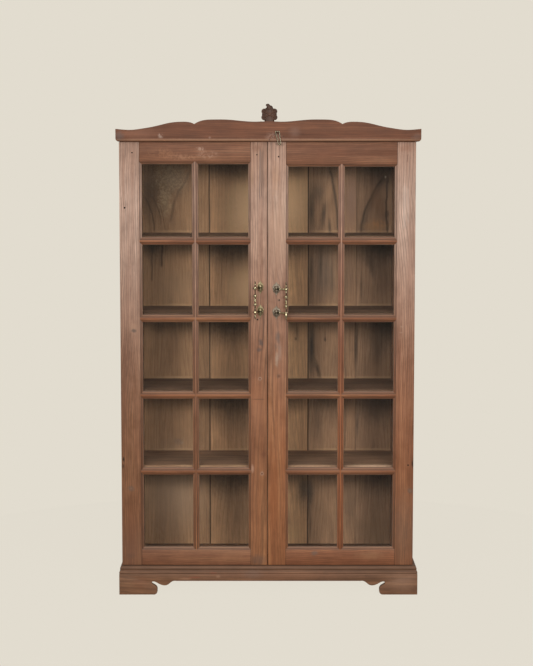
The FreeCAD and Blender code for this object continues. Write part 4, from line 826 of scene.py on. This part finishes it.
class CABINET_OT_carcass(bpy.types.Operator):
    """Finishes the posts, the sides, the boards and the rails behind the doors"""
    bl_idname = "cabinet.carcass"
    bl_label = "Carcass"

    def execute(self, context):
        colours = streaks("base")
        upright = wood("teak, old, carcass uprights", "Z", 3.0, colours, rings=0.3)
        panel = wood("teak, old, side panels", "Z", 6.0, colours, rings=0.5, ring=12.0, depth=25.0)
        level = wood("teak, old, carcass rails", "Y", 4.0, colours, rings=0.3)
        along = wood("teak, old, carcass boards", "X", 5.0, colours, rings=0.3)
        for material, nodes in (
                (upright, ("front_left_post", "front_right_post", "rear_left_post", "rear_right_post")),
                (panel, ("left_side_panels", "right_side_panels")),
                (level, ("left_side_rails", "right_side_rails", "shelf_cleats")),
                (along, ("front_rails", "rear_rail", "top_board", "base_corner_blocks"))):
            for node in nodes:
                paint(node, material)
        return {"FINISHED"}


class CABINET_OT_inside(bpy.types.Operator):
    """Finishes the shelves, the floor and the back boards"""
    bl_idname = "cabinet.inside"
    bl_label = "Inside"

    def execute(self, context):
        for index, (node, tone) in enumerate(zip(BACK_BOARDS, BOARD_TONES)):
            low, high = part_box(node)
            # A dark line where a board meets its neighbour, and a pale one over each shelf
            joints = tuple(upright_line(edge / MM, 4.5, 2.0, "#2e190b", amount)
                           for edge, amount in zip((low.x, high.x), JOINT_AMOUNTS[index:]))
            feet = tuple(("spot", (low.x + high.x) / 2.0 / MM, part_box(shelf)[1].z / MM + 5.0, 150.0, 8.0, 0.0,
                          "#c9a47c", 0.5) for shelf in SHELVES)
            paint(node, wood(f"teak, dry, back board {index + 1}", "Z", 11.0 + index,
                             toned(streaks("inside"), tone), ring=14.0, pith=(low.x + high.x) / 2.0 / MM, depth=30.0,
                             lean=0.05, rings=0.22, fibre=0.34, spread=BOARD_SPREADS[index], dust_and_top_light=0.0, roughness=0.7,
                             marks=feet + MARKS.get(node, ()) + joints))
        # A dark filler, painted shade, fills the joints over part of their depth, so that no light comes through them
        shape = bmesh.new()
        for left, right in zip(BACK_BOARDS, BACK_BOARDS[1:]):
            low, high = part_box(left)
            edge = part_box(right)[0].x
            size = (edge - high.x, 0.6 * (high.y - low.y), high.z - low.z - 2.0 * MM)
            middle = ((high.x + edge) / 2.0, (low.y + high.y) / 2.0, (low.z + high.z) / 2.0)
            bmesh.ops.create_cube(shape, size=1.0, matrix=Matrix.Translation(middle) @ Matrix.Diagonal((*size, 1.0)))
        joint_filler = wood("dirt, packed, in the back joints", "Z", 16.0, [linear("#2a1b12")] * 3, dust_and_top_light=0.0, roughness=0.9,
                    marks=JOINT_FILLER_MARKS)
        new_piece("back_joint_dirt", finished(shape, "back_joint_dirt"), joint_filler, "carcass")
        for index, node in enumerate(SHELVES + ("bottom_board",)):
            paint(node, wood(f"teak, dry, {node.replace('_', ' ')}", "X", 21.0 + index,
                             toned(streaks("shelf"), SHELF_TONES.get(node, PLAIN)), dust_and_top_light=0.04, roughness=0.7,
                             marks=MARKS.get(node, ()), level=True))
        return {"FINISHED"}


class CABINET_OT_cornice(bpy.types.Operator):
    """Finishes the scrolled cornice and its returns"""
    bl_idname = "cabinet.cornice"
    bl_label = "Cornice"

    def execute(self, context):
        colours = streaks("cornice")
        # The cornice's upward faces, its rounded top edge most of all, are painted dark as shade
        top_edge_shade = context.scene.cabinet_teak.line
        rubbed("cornice_front", wood("teak, old, cornice", "X", 31.0, colours, dust_and_top_light=3.0, upward_colour=top_edge_shade,
                                     marks=MARKS["cornice_front"]), "carcass", wear=3.0)
        paint("cornice_returns", wood("teak, old, cornice returns", "Y", 32.0, colours, dust_and_top_light=0.6, upward_colour=top_edge_shade))
        return {"FINISHED"}


class CABINET_OT_finial(bpy.types.Operator):
    """Carves the finial: a bud over two pairs of scrolled petals, on a flared neck"""
    bl_idname = "cabinet.finial"
    bl_label = "Finial"

    # How far the tip is above the seat and the front is before the axis, in millimetres
    tall, front = 74.5, 13.0
    # Petals as (across, up, radius), from the finial's axis and seat, in millimetres
    petals = ((-21.0, 20.5, 11.5), (21.0, 20.5, 11.5), (-20.5, 44.0, 11.5), (20.5, 44.0, 11.5))
    # The height of the flower's heart, and the half width of the petals' rims
    heart, rim = 32.0, 2.7
    # Balls of the heart, the web between the petals and the neck: (across, up, half width, half depth, half height)
    body = ((0.0, heart, 26.0, 7.0, 28.0), (0.0, heart, 27.5, 5.0, 7.0), (0.0, 54.0, 17.0, 5.0, 7.0),
            (-22.5, heart, 7.5, 5.0, 7.0), (22.5, heart, 7.5, 5.0, 7.0), (0.0, 10.0, 20.0, 7.5, 20.0))
    # Balls of the bud, and then how far forward each is and its turn in degrees
    bud = ((-1.0, 58.5, 10.0, 6.5, 11.5, 1.0, -12.0), (-5.5, 67.5, 8.0, 6.0, 7.0, 1.0, 30.0),
           (-10.0, 69.5, 4.8, 5.0, 4.0, 2.0, -20.0), (6.5, 60.5, 8.0, 5.0, 6.5, 0.0, 42.0))

    def execute(self, context):
        low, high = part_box("finial")
        axis = Vector(((low.x + high.x) / 2.0, (low.y + high.y) / 2.0, 0.0))
        seat = high.z - self.tall * MM
        sphere = bmesh.new()
        bmesh.ops.create_uvsphere(sphere, u_segments=20, v_segments=12, radius=1.0)
        round_points = [vertex.co.copy() for vertex in sphere.verts]
        round_faces = [[vertex.index for vertex in face.verts] for face in sphere.faces]
        sphere.free()
        points, faces = [], []

        def ball(across, up, wide, deep, tall, forward=0.0, turn=0.0):
            place = (Matrix.Translation((axis.x + across * MM, axis.y - forward * MM, seat + up * MM))
                     @ Matrix.Rotation(math.radians(turn), 4, "Y")
                     @ Matrix.Diagonal((wide * MM, deep * MM, tall * MM, 1.0)))
            first = len(points)
            points.extend(place @ point for point in round_points)
            faces.extend([first + i for i in face] for face in round_faces)

        def scroll(across, up, radius, thick, forward):
            """A raised rim around a petal."""
            count = 20
            for i in range(count):
                angle = math.tau * i / count
                ball(across + radius * math.cos(angle), up + radius * math.sin(angle), thick, thick, thick, forward)

        for values in self.body:
            ball(*values)
        # The foot of the neck spreads out on to the cornice
        for step in range(9):
            spread = step / 8.0
            ball(0.0, 9.0 * (1.0 - spread) - 1.0, 19.5 + 6.0 * spread ** 2, 7.5, 2.6)
        for across, up, radius in self.petals:
            # Each petal is a flat ball with a rim round it and a boss in its middle
            ball(across, up, radius, 6.0, radius)
            scroll(across, up, radius - self.rim, self.rim, 5.0)
            ball(across * 0.96, up, 3.6, 3.6, 3.6, 5.2)
            # A vein from each petal to the heart of the flower
            for step in range(6):
                share = 0.25 + 0.11 * step
                ball(across * share, self.heart + (up - self.heart) * share, 2.2, 3.0, 2.2, 6.2)
        ball(0.0, self.heart, 6.0, 4.0, 6.0, 6.0)
        # The bud hooks over to the left, and slopes away on its right
        for values in self.bud:
            ball(*values)
        scroll(-6.5, 66.5, 4.8, 1.7, 5.6)
        mesh = bpy.data.meshes.new("finial")
        mesh.from_pydata(points, [], faces)
        carved = bpy.data.objects.new("finial_blank", mesh)
        context.scene.collection.objects.link(carved)
        remesh = carved.modifiers.new("carve", "REMESH")
        remesh.mode = "VOXEL"
        remesh.voxel_size = 0.9 * MM
        smooth = carved.modifiers.new("soften", "SMOOTH")
        smooth.factor = 0.5
        smooth.iterations = 3
        view = context.evaluated_depsgraph_get()
        result = bpy.data.meshes.new_from_object(carved.evaluated_get(view), depsgraph=view)
        bpy.data.objects.remove(carved)
        result.shade_smooth()
        colours = (linear("#3f2c22"), linear("#674839"), linear("#8a6452"))
        face = axis.y - self.front * MM
        # The carving darkens further back from its front: grime and painted shade in its hollows
        material = wood("teak, old, carved", "Z", 41.0, colours, dust_and_top_light=0.0,
                        hollow=(face, ((2.0, 0.0), (5.0, 0.5), (9.0, 0.9)), ()))
        piece = new_piece("finial_carved", result, material, "carcass")
        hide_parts("finial")
        return {"FINISHED"}


class CABINET_OT_base(bpy.types.Operator):
    """Finishes the footed base boards"""
    bl_idname = "cabinet.base"
    bl_label = "Base"

    def execute(self, context):
        colours = streaks("base")
        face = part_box("base_front")[0].y
        along = wood("teak, old, base boards", "X", 51.0, colours)
        deep = wood("teak, old, base side boards", "Y", 52.0, colours)
        # Depths behind the base's face, in millimetres, and how dark they are: grime and painted shade in its grooves
        grime_and_shade = ((1.0, 0.0), (3.0, 0.2), (5.0, 0.05), (9.0, 0.4), (14.0, 0.6))
        rubbed("base_front", wood("teak, old, base front", "X", 53.0, colours, dust_and_top_light=0.12,
                                  hollow=(face, grime_and_shade, ()), marks=MARKS["base_front"]), "carcass")
        paint("base_rear", along)
        for side in SIDES:
            paint(f"base_{side}", deep)
        return {"FINISHED"}


class CABINET_OT_doors(bpy.types.Operator):
    """Finishes the stiles, rails and bars of both doors"""
    bl_idname = "cabinet.doors"
    bl_label = "Doors"

    def execute(self, context):
        teak = context.scene.cabinet_teak
        # Heights and how much sheen is painted on the uprights there, three of them more than the rest
        stops = ((290.0, 0.0), (600.0, 0.03), (800.0, 0.08), (1000.0, 0.22), (1200.0, 0.48), (1420.0, 0.80),
                 (1620.0, 1.0), (1790.0, 0.72))
        strong = (teak.painted_sheen_dark, teak.painted_sheen_pale, stops)
        faint = (teak.painted_sheen_dark, teak.painted_sheen_pale, tuple((z, 0.78 * share) for z, share in stops))
        hollow = (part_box("left_outer_stile")[0].y, SASH_GRIME_AND_SHADE, SASH_ARRIS)
        low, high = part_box("left_inner_stile")[1].x / MM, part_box("right_inner_stile")[0].x / MM
        # Painted shade along the inner stiles' edges, where they meet at the seam between the doors
        seam_shade = tuple(upright_line(edge, 5.0, 3.0, "#2c1d18", 0.22) for edge in (low, high))
        for side in SIDES:
            shift = 10.0 if side == "right" else 0.0
            # Dark lines where a rail meets the stiles, at the foot of their mouldings
            edges = sorted((low.x / MM, high.x / MM) for low, high in
                           (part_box(f"{side}_{stile}_stile") for stile in ("outer", "inner")))
            joints = tuple(upright_line(x, 3.6, 1.0, "#2c1d15", 0.8)
                           for x in (edges[0][1] - MOULDING, edges[1][0] + MOULDING))
            for index, part in enumerate(("outer_stile", "inner_stile", "vertical_bar")):
                node = f"{side}_{part}"
                painted_sheen = strong if node in ("left_outer_stile", "right_inner_stile", "right_outer_stile") else faint
                marks = MARKS.get(node, ()) + (seam_shade if part == "inner_stile" else ())
                rubbed(node, wood(f"teak, old waxed, {side} {part.replace('_', ' ')}", "Z", 61.0 + index + shift,
                                  toned(streaks("upright"), DOOR_TONES.get(node, PLAIN)), painted_sheen=painted_sheen,
                                  hollow=hollow, rings=0.42, fibre=0.42, spread=0.16, marks=marks), f"{side}_door")
            for index, part in enumerate(("top_rail", "bottom_rail", "cross_bars")):
                node = f"{side}_{part}"
                marks = MARKS.get(node, ()) + (joints if part != "cross_bars" else ())
                rubbed(node, wood(f"teak, old waxed, {side} {part.replace('_', ' ')}", "X", 65.0 + index + shift,
                                  toned(streaks("level"), DOOR_TONES.get(node, PLAIN)), hollow=hollow,
                                  rings=0.34, fibre=0.36, marks=marks), f"{side}_door")
        return {"FINISHED"}


class CABINET_OT_glazing(bpy.types.Operator):
    """Finishes the panes and the beads that hold them"""
    bl_idname = "cabinet.glazing"
    bl_label = "Glazing"

    def execute(self, context):
        glass = window_glass(context.scene.cabinet_metal.glass)
        bead = wood("teak, old, glazing beads", "Z", 81.0, streaks("base"))
        for side in SIDES:
            paint(f"{side}_panes", glass)
            paint(f"{side}_glazing_beads", bead)
        return {"FINISHED"}


class CABINET_OT_handles(bpy.types.Operator):
    """Turns the two bar pulls and shapes their plates and lugs"""
    bl_idname = "cabinet.handles"
    bl_label = "Handles"

    # Half a bar's length and width, and how far the arms are above and below its middle, in millimetres
    half_bar, half_width, arm_height = 76.0, 7.5, 48.0
    # The radii of the bar and of the arms between their beads
    bar_rod, arm_rod = 2.1, 2.5
    # Beads of each bar as (height from the middle, radius, half length), in millimetres
    bars = {
        "left": ((74.5, 2.9, 3.0), (64.0, 4.5, 4.0), (48.5, 8.0, 7.6), (38.5, 3.6, 1.6), (17.0, 7.6, 7.4),
                 (5.0, 5.4, 3.0), (0.0, 6.0, 4.2), (-5.2, 5.4, 3.0), (-17.5, 7.3, 7.0), (-32.0, 4.4, 2.2),
                 (-37.5, 4.0, 2.0), (-48.5, 7.7, 7.4), (-62.5, 4.6, 4.4), (-70.0, 3.2, 4.5)),
        "right": ((74.0, 3.6, 3.6), (61.5, 4.8, 4.4), (48.5, 8.0, 7.6), (36.0, 4.2, 6.0), (16.0, 7.8, 7.6),
                  (2.0, 5.2, 3.2), (-4.0, 6.0, 4.6), (-10.0, 4.8, 2.8), (-20.5, 7.2, 6.8), (-28.5, 4.0, 2.4),
                  (-49.0, 6.6, 6.6), (-57.0, 6.4, 11.0), (-69.0, 4.2, 2.6), (-74.5, 2.6, 3.0))}
    # A plate's height and widths, and the radius of its lugs, in millimetres
    plate_tall, plate_wide, lug = 54.0, {"left": 26.0, "right": 34.0}, 8.0
    # A plate's outline as shares of its width and height, from its top round to the right
    outline = ((0.0, 0.5), (0.12, 0.40), (0.26, 0.33), (0.42, 0.22), (0.5, 0.10), (0.44, -0.03), (0.42, -0.14),
               (0.30, -0.27), (0.16, -0.33), (0.08, -0.42), (0.0, -0.5))
    # Rings of a plate as (share of the outline, height over the door in millimetres)
    rings = ((1.0, 0.05), (1.0, 0.8), (0.96, 1.5), (0.88, 1.7), (0.82, 1.3), (0.74, 1.6), (0.60, 2.8), (0.42, 3.8),
             (0.20, 4.3))

    def execute(self, context):
        tints = context.scene.cabinet_metal
        wear_and_sheen = metal("brass, cast, waxed and brown", tints.worn_brass, linear("#5b4f33"), 0.36, 110.0, 0.35)
        dull = metal("brass, cast, gone dull", tints.dull_brass, linear("#4a4036"), 0.42, 110.0, 0.4)
        for side, plate, shade in (("left", wear_and_sheen, 24.0), ("right", dull, 11.0)):
            self.make_bar(side, tints.brass, shade * MM)
            self.make_plates(side, plate)
            paint(f"{side}_handle_pins", plate)
        return {"FINISHED"}

    def make_bar(self, side, tint, shade):
        """The bar of beads, its arms and their eyes. Grime lies between the beads, and painted shade darkens the arms
        by the pin, up to shade.
        """
        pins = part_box(f"{side}_handle_pins")
        pin = (pins[0] + pins[1]) / 2.0
        low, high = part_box(f"{side}_handle_bar")
        inset = self.half_width * MM
        outer = low.x + inset if side == "left" else high.x - inset
        bar = Vector((outer, low.y + inset, pin.z))
        material = metal(f"brass, cast, worn bright, {side}", tint, linear("#5a4d33"), 0.17, 90.0, 0.35,
                         grime_and_shade=((bar.x, bar.y, 2.2 * MM, 4.6 * MM), (pin.x, pin.y, shade, shade + 5.0 * MM)))
        shape = bmesh.new()
        beads = [tuple(value * MM for value in bead) for bead in self.bars[side]]
        half = self.half_bar * MM
        turned(shape, beaded(-half, half, self.bar_rod * MM, beads, 0.6 * MM), Matrix.Translation(bar), 24)
        arm = Vector((bar.x - pin.x, bar.y - pin.y, 0.0))
        reach = arm.length
        aim = arm.to_track_quat("Z", "Y").to_matrix().to_4x4()
        # A knob on each arm near the plate, and a collar near the bar
        knobs = [(14.5 * MM, 4.6 * MM, 4.2 * MM), (reach - 9.5 * MM, 4.2 * MM, 2.2 * MM)]
        eye = [(z * MM, r * MM) for z, r in ((-2.6, 4.6), (-2.2, 5.3), (0.0, 5.5), (2.2, 5.3), (2.6, 4.6))]
        for height in (self.arm_height * MM, -self.arm_height * MM):
            place = Matrix.Translation((pin.x, pin.y, pin.z + height))
            turned(shape, beaded(1.0 * MM, reach, self.arm_rod * MM, knobs), place @ aim, 16)
            turned(shape, eye, place, 20)
        piece = new_piece(f"{side}_handle_turned", finished(shape, f"{side}_handle"), material, f"{side}_handle")
        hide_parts(f"{side}_handle_bar")

    def make_plates(self, side, material):
        """The two cast plates of a bar, each with its fork."""
        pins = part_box(f"{side}_handle_pins")
        pin = (pins[0] + pins[1]) / 2.0
        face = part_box(f"{side}_inner_stile")[0].y
        width, tall = self.plate_wide[side] * MM, self.plate_tall * MM
        left_half = [(-x, z) for x, z in reversed(self.outline[1:-1])]
        points = [Vector((x * width, 0.0, z * tall)) for x, z in (*self.outline, *left_half)]
        loop = smooth_loop(points, 72)
        shape = bmesh.new()
        for height in (self.arm_height * MM, -self.arm_height * MM):
            middle = Vector((pin.x, face, pin.z + height))
            stacked(shape, [[middle + share * point - Vector((0.0, up * MM, 0.0)) for point in loop]
                            for share, up in self.rings])
            for way in (1.0, -1.0):
                self.make_lug(shape, Vector((pin.x, pin.y, middle.z)), face, way)
        piece = new_piece(f"{side}_handle_plates_cast", finished(shape, f"{side}_plates"), material, f"{side}_door")
        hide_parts(f"{side}_handle_plates")

    def make_lug(self, shape, pin, face, way):
        """One tongue of the fork: round about the pin, and spread where it meets the plate."""
        radius = self.lug * MM
        outline = [Vector((radius * math.cos(math.radians(a)), -radius * math.sin(math.radians(a)), 0.0))
                   for a in range(0, 181, 15)]
        back = face - 1.2 * MM - pin.y
        outline += [Vector((-8.1 * MM, back * 0.5, 0.0)), Vector((-9.6 * MM, back, 0.0)),
                    Vector((9.6 * MM, back, 0.0)), Vector((8.1 * MM, back * 0.5, 0.0))]
        # Heights from the arm, in millimetres, and shares of the outline
        levels = ((2.95, 0.90), (3.7, 1.0), (9.0, 0.98), (10.6, 0.88), (11.6, 0.62))
        loops = []
        for up, share in levels:
            loops.append([pin + Vector((point.x * share, point.y * share if point.y < 0.0 else point.y,
                                        way * up * MM)) for point in outline])
        stacked(shape, loops if way > 0.0 else [list(reversed(loop)) for loop in loops])


class CABINET_OT_nails(bpy.types.Operator):
    """Sets the pegs and nails of the doors, and the nails of the back boards"""
    bl_idname = "cabinet.nails"
    bl_label = "Pegs and nails"

    # Places on the door's face as (x, z) in millimetres
    pegs = {"left": ((-34.0, 889.0), (-26.0, 499.0)), "right": ((43.0, 900.0),)}
    nails = {"left": ((-546.0, 1801.0), (-46.0, 1793.0), (-44.0, 1130.0), (-578.0, 1581.0)),
             "right": ((41.0, 1785.0), (44.0, 1209.0), (570.0, 534.0))}
    # How far the back boards' nails are from their edges
    inset = 28.0

    def execute(self, context):
        wear = context.scene.cabinet_wear
        tree = nail_tree()
        peg = wood("teak, old, end grain of pegs", "Y", 91.0, streaks("level"))
        iron = metal("iron, forged, rusted", context.scene.cabinet_metal.iron, linear("#2a201a"), 0.6, 120.0)
        peg_size = {"Radius": wear.peg_radius, "Stand": wear.peg_stand, "Seed": 7}
        nail_size = {"Radius": 3.0 * MM, "Stand": 0.8 * MM, "Seed": 11}
        for side in SIDES:
            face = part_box(f"{side}_inner_stile")[0].y
            for name, places, size, material, slot in (("pegs", self.pegs, peg_size, peg, "teak"),
                                                       ("nails", self.nails, nail_size, iron, "iron")):
                grown(f"{side}_{name}", tree, [(x * MM, face, z * MM) for x, z in places[side]], size, material,
                      f"{side}_door")
        # Each back board has two nails into each shelf, the floor and the rear rail
        levels = [sum(corner.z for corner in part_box(node)) / 2.0 for node in SHELVES + ("bottom_board", "rear_rail")]
        points = []
        for node in BACK_BOARDS:
            low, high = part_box(node)
            for z in levels:
                points += [(x, high.y, z) for x in (low.x + self.inset * MM, high.x - self.inset * MM)]
        grown("back_nails", tree, points, {"Radius": 3.5 * MM, "Stand": 0.8 * MM, "Seed": 13}, iron, "carcass")
        for node in ("left_pivots", "right_pivots", "hasp_staple"):
            paint(node, iron)
        return {"FINISHED"}


class CABINET_OT_hasp(bpy.types.Operator):
    """Finishes the wire hasp and its eye"""
    bl_idname = "cabinet.hasp"
    bl_label = "Hasp"

    def execute(self, context):
        wire = metal("steel wire, drawn", context.scene.cabinet_metal.wire, linear("#5d5344"), 0.3, 200.0)
        for node in ("hasp", "hasp_eye"):
            paint(node, wire)
        return {"FINISHED"}


class CABINET_OT_stage(bpy.types.Operator):
    """Makes the floor, the background, the lamps and the camera"""
    bl_idname = "cabinet.stage"
    bl_label = "Stage"

    def execute(self, context):
        scene = context.scene
        stage = scene.cabinet_stage
        scene.view_settings.view_transform = "Standard"
        self.make_world(scene, stage)
        self.make_floor(scene, stage)
        self.make_lamps(scene, stage)
        camera = bpy.data.objects.new("camera", bpy.data.cameras.new("camera"))
        scene.collection.objects.link(camera)
        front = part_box("left_outer_stile")[0].y
        # The camera stood a little to the left of the middle
        camera.location = (-7.5 * MM, front - stage.distance, stage.height)
        camera.rotation_euler = (math.pi / 2.0 - stage.pitch, 0.0, 0.0)
        camera.data.sensor_width = 36.0
        camera.data.lens = stage.lens
        camera.data.clip_end = 60.0
        scene.camera = camera
        return {"FINISHED"}

    def seen(self, tree):
        """1 for rays that end in the picture, straight or through glass."""
        path = add(tree, "ShaderNodeLightPath")
        return add(tree, "ShaderNodeMath", {0: path.outputs["Is Camera Ray"], 1: path.outputs["Is Transmission Ray"]},
                   operation="MAXIMUM")

    def make_world(self, scene, stage):
        world = bpy.data.worlds.new("studio")
        world.use_nodes = True
        tree = world.node_tree
        tree.nodes.clear()
        light = add(tree, "ShaderNodeBackground", {"Color": linear("#fffaf3"), "Strength": stage.air})
        shown = add(tree, "ShaderNodeBackground", {"Color": stage.backdrop, "Strength": 1.0})
        mixed = add(tree, "ShaderNodeMixShader", {0: self.seen(tree), 1: light, 2: shown})
        add(tree, "ShaderNodeOutputWorld", {"Surface": mixed})
        scene.world = world

    def make_floor(self, scene, stage):
        """A disc that fades into the background from 0.7 m to 2 m from its middle, so that no horizon shows."""
        mesh = bpy.data.meshes.new("floor")
        shape = bmesh.new()
        bmesh.ops.create_circle(shape, cap_ends=True, segments=96, radius=7.0)
        shape.to_mesh(mesh)
        shape.free()
        floor = bpy.data.objects.new("floor", mesh)
        scene.collection.objects.link(floor)
        material, tree = new_material("paper, matt, pale")
        place = add(tree, "ShaderNodeTexCoord")
        span = add(tree, "ShaderNodeVectorMath", {0: place.outputs["Object"]}, operation="LENGTH")
        fade = add(tree, "ShaderNodeMapRange", {0: span.outputs["Value"], 1: 0.7, 2: 2.0, 3: 0.0, 4: 1.0},
                   interpolation_type="SMOOTHSTEP")
        # The picture shows a light shadow only; the light that the floor throws back stays whole
        faint = add(tree, "ShaderNodeMath", {0: self.seen(tree), 1: 0.98}, operation="MULTIPLY")
        clearer = add(tree, "ShaderNodeMath", {0: fade, 1: faint}, operation="MAXIMUM")
        matt = add(tree, "ShaderNodeBsdfDiffuse", {"Color": stage.floor, "Roughness": 1.0})
        clear = add(tree, "ShaderNodeBsdfTransparent")
        mixed = add(tree, "ShaderNodeMixShader", {0: clearer, 1: matt, 2: clear})
        add(tree, "ShaderNodeOutputMaterial", {"Surface": mixed})
        mesh.materials.append(material)

    def make_lamps(self, scene, stage):
        """A soft box on each side, low enough to light the back boards, and a faint one overhead."""
        for name, place, wide, tall, share in (("soft box right", (2.35, -6.3, 2.1), 2.2, 1.1, 1.1),
                                               ("soft box left", (-2.35, -6.0, 2.5), 2.2, 1.2, 1.0),
                                               ("soft box above", (0.0, -3.2, 4.4), 2.4, 2.4, 0.3)):
            lamp = bpy.data.lights.new(name, "AREA")
            lamp.shape = "RECTANGLE"
            lamp.size = wide
            lamp.size_y = tall
            lamp.energy = stage.lamps * share
            lamp.color = linear("#fffbf5")[:3]
            holder = bpy.data.objects.new(name, lamp)
            scene.collection.objects.link(holder)
            holder.location = place
            holder.rotation_euler = (Vector((0.0, 0.0, 1.0)) - Vector(place)).to_track_quat("-Z", "Y").to_euler()


SETTINGS = {"cabinet_teak": CabinetTeak, "cabinet_metal": CabinetMetal, "cabinet_wear": CabinetWear,
            "cabinet_stage": CabinetStage}
OPERATORS = (CABINET_OT_carcass, CABINET_OT_inside, CABINET_OT_cornice, CABINET_OT_finial, CABINET_OT_base,
             CABINET_OT_doors, CABINET_OT_glazing, CABINET_OT_handles, CABINET_OT_nails, CABINET_OT_hasp,
             CABINET_OT_stage)


class CABINET_PT_panel(bpy.types.Panel):
    bl_label = "Glass cabinet"
    bl_idname = "CABINET_PT_panel"
    bl_space_type = "VIEW_3D"
    bl_region_type = "UI"
    bl_category = "Cabinet"

    def draw(self, context):
        for operator in OPERATORS:
            self.layout.operator(operator.bl_idname)
        for settings in SETTINGS:
            box = self.layout.box()
            for name in SETTINGS[settings].__annotations__:
                box.prop(getattr(context.scene, settings), name)


def register():
    for group in SETTINGS.values():
        bpy.utils.register_class(group)
    for name, group in SETTINGS.items():
        setattr(bpy.types.Scene, name, bpy.props.PointerProperty(type=group))
    for operator in OPERATORS:
        bpy.utils.register_class(operator)
    bpy.utils.register_class(CABINET_PT_panel)


def unregister():
    bpy.utils.unregister_class(CABINET_PT_panel)
    for operator in reversed(OPERATORS):
        bpy.utils.unregister_class(operator)
    for name in SETTINGS:
        delattr(bpy.types.Scene, name)
    for group in SETTINGS.values():
        bpy.utils.unregister_class(group)


def main():
    register()
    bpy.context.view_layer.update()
    bpy.ops.cabinet.carcass()
    bpy.ops.cabinet.inside()
    bpy.ops.cabinet.cornice()
    bpy.ops.cabinet.finial()
    bpy.ops.cabinet.base()
    bpy.ops.cabinet.doors()
    bpy.ops.cabinet.glazing()
    bpy.ops.cabinet.handles()
    bpy.ops.cabinet.nails()
    bpy.ops.cabinet.hasp()
    bpy.ops.cabinet.stage()


if __name__ == "__main__":
    main()
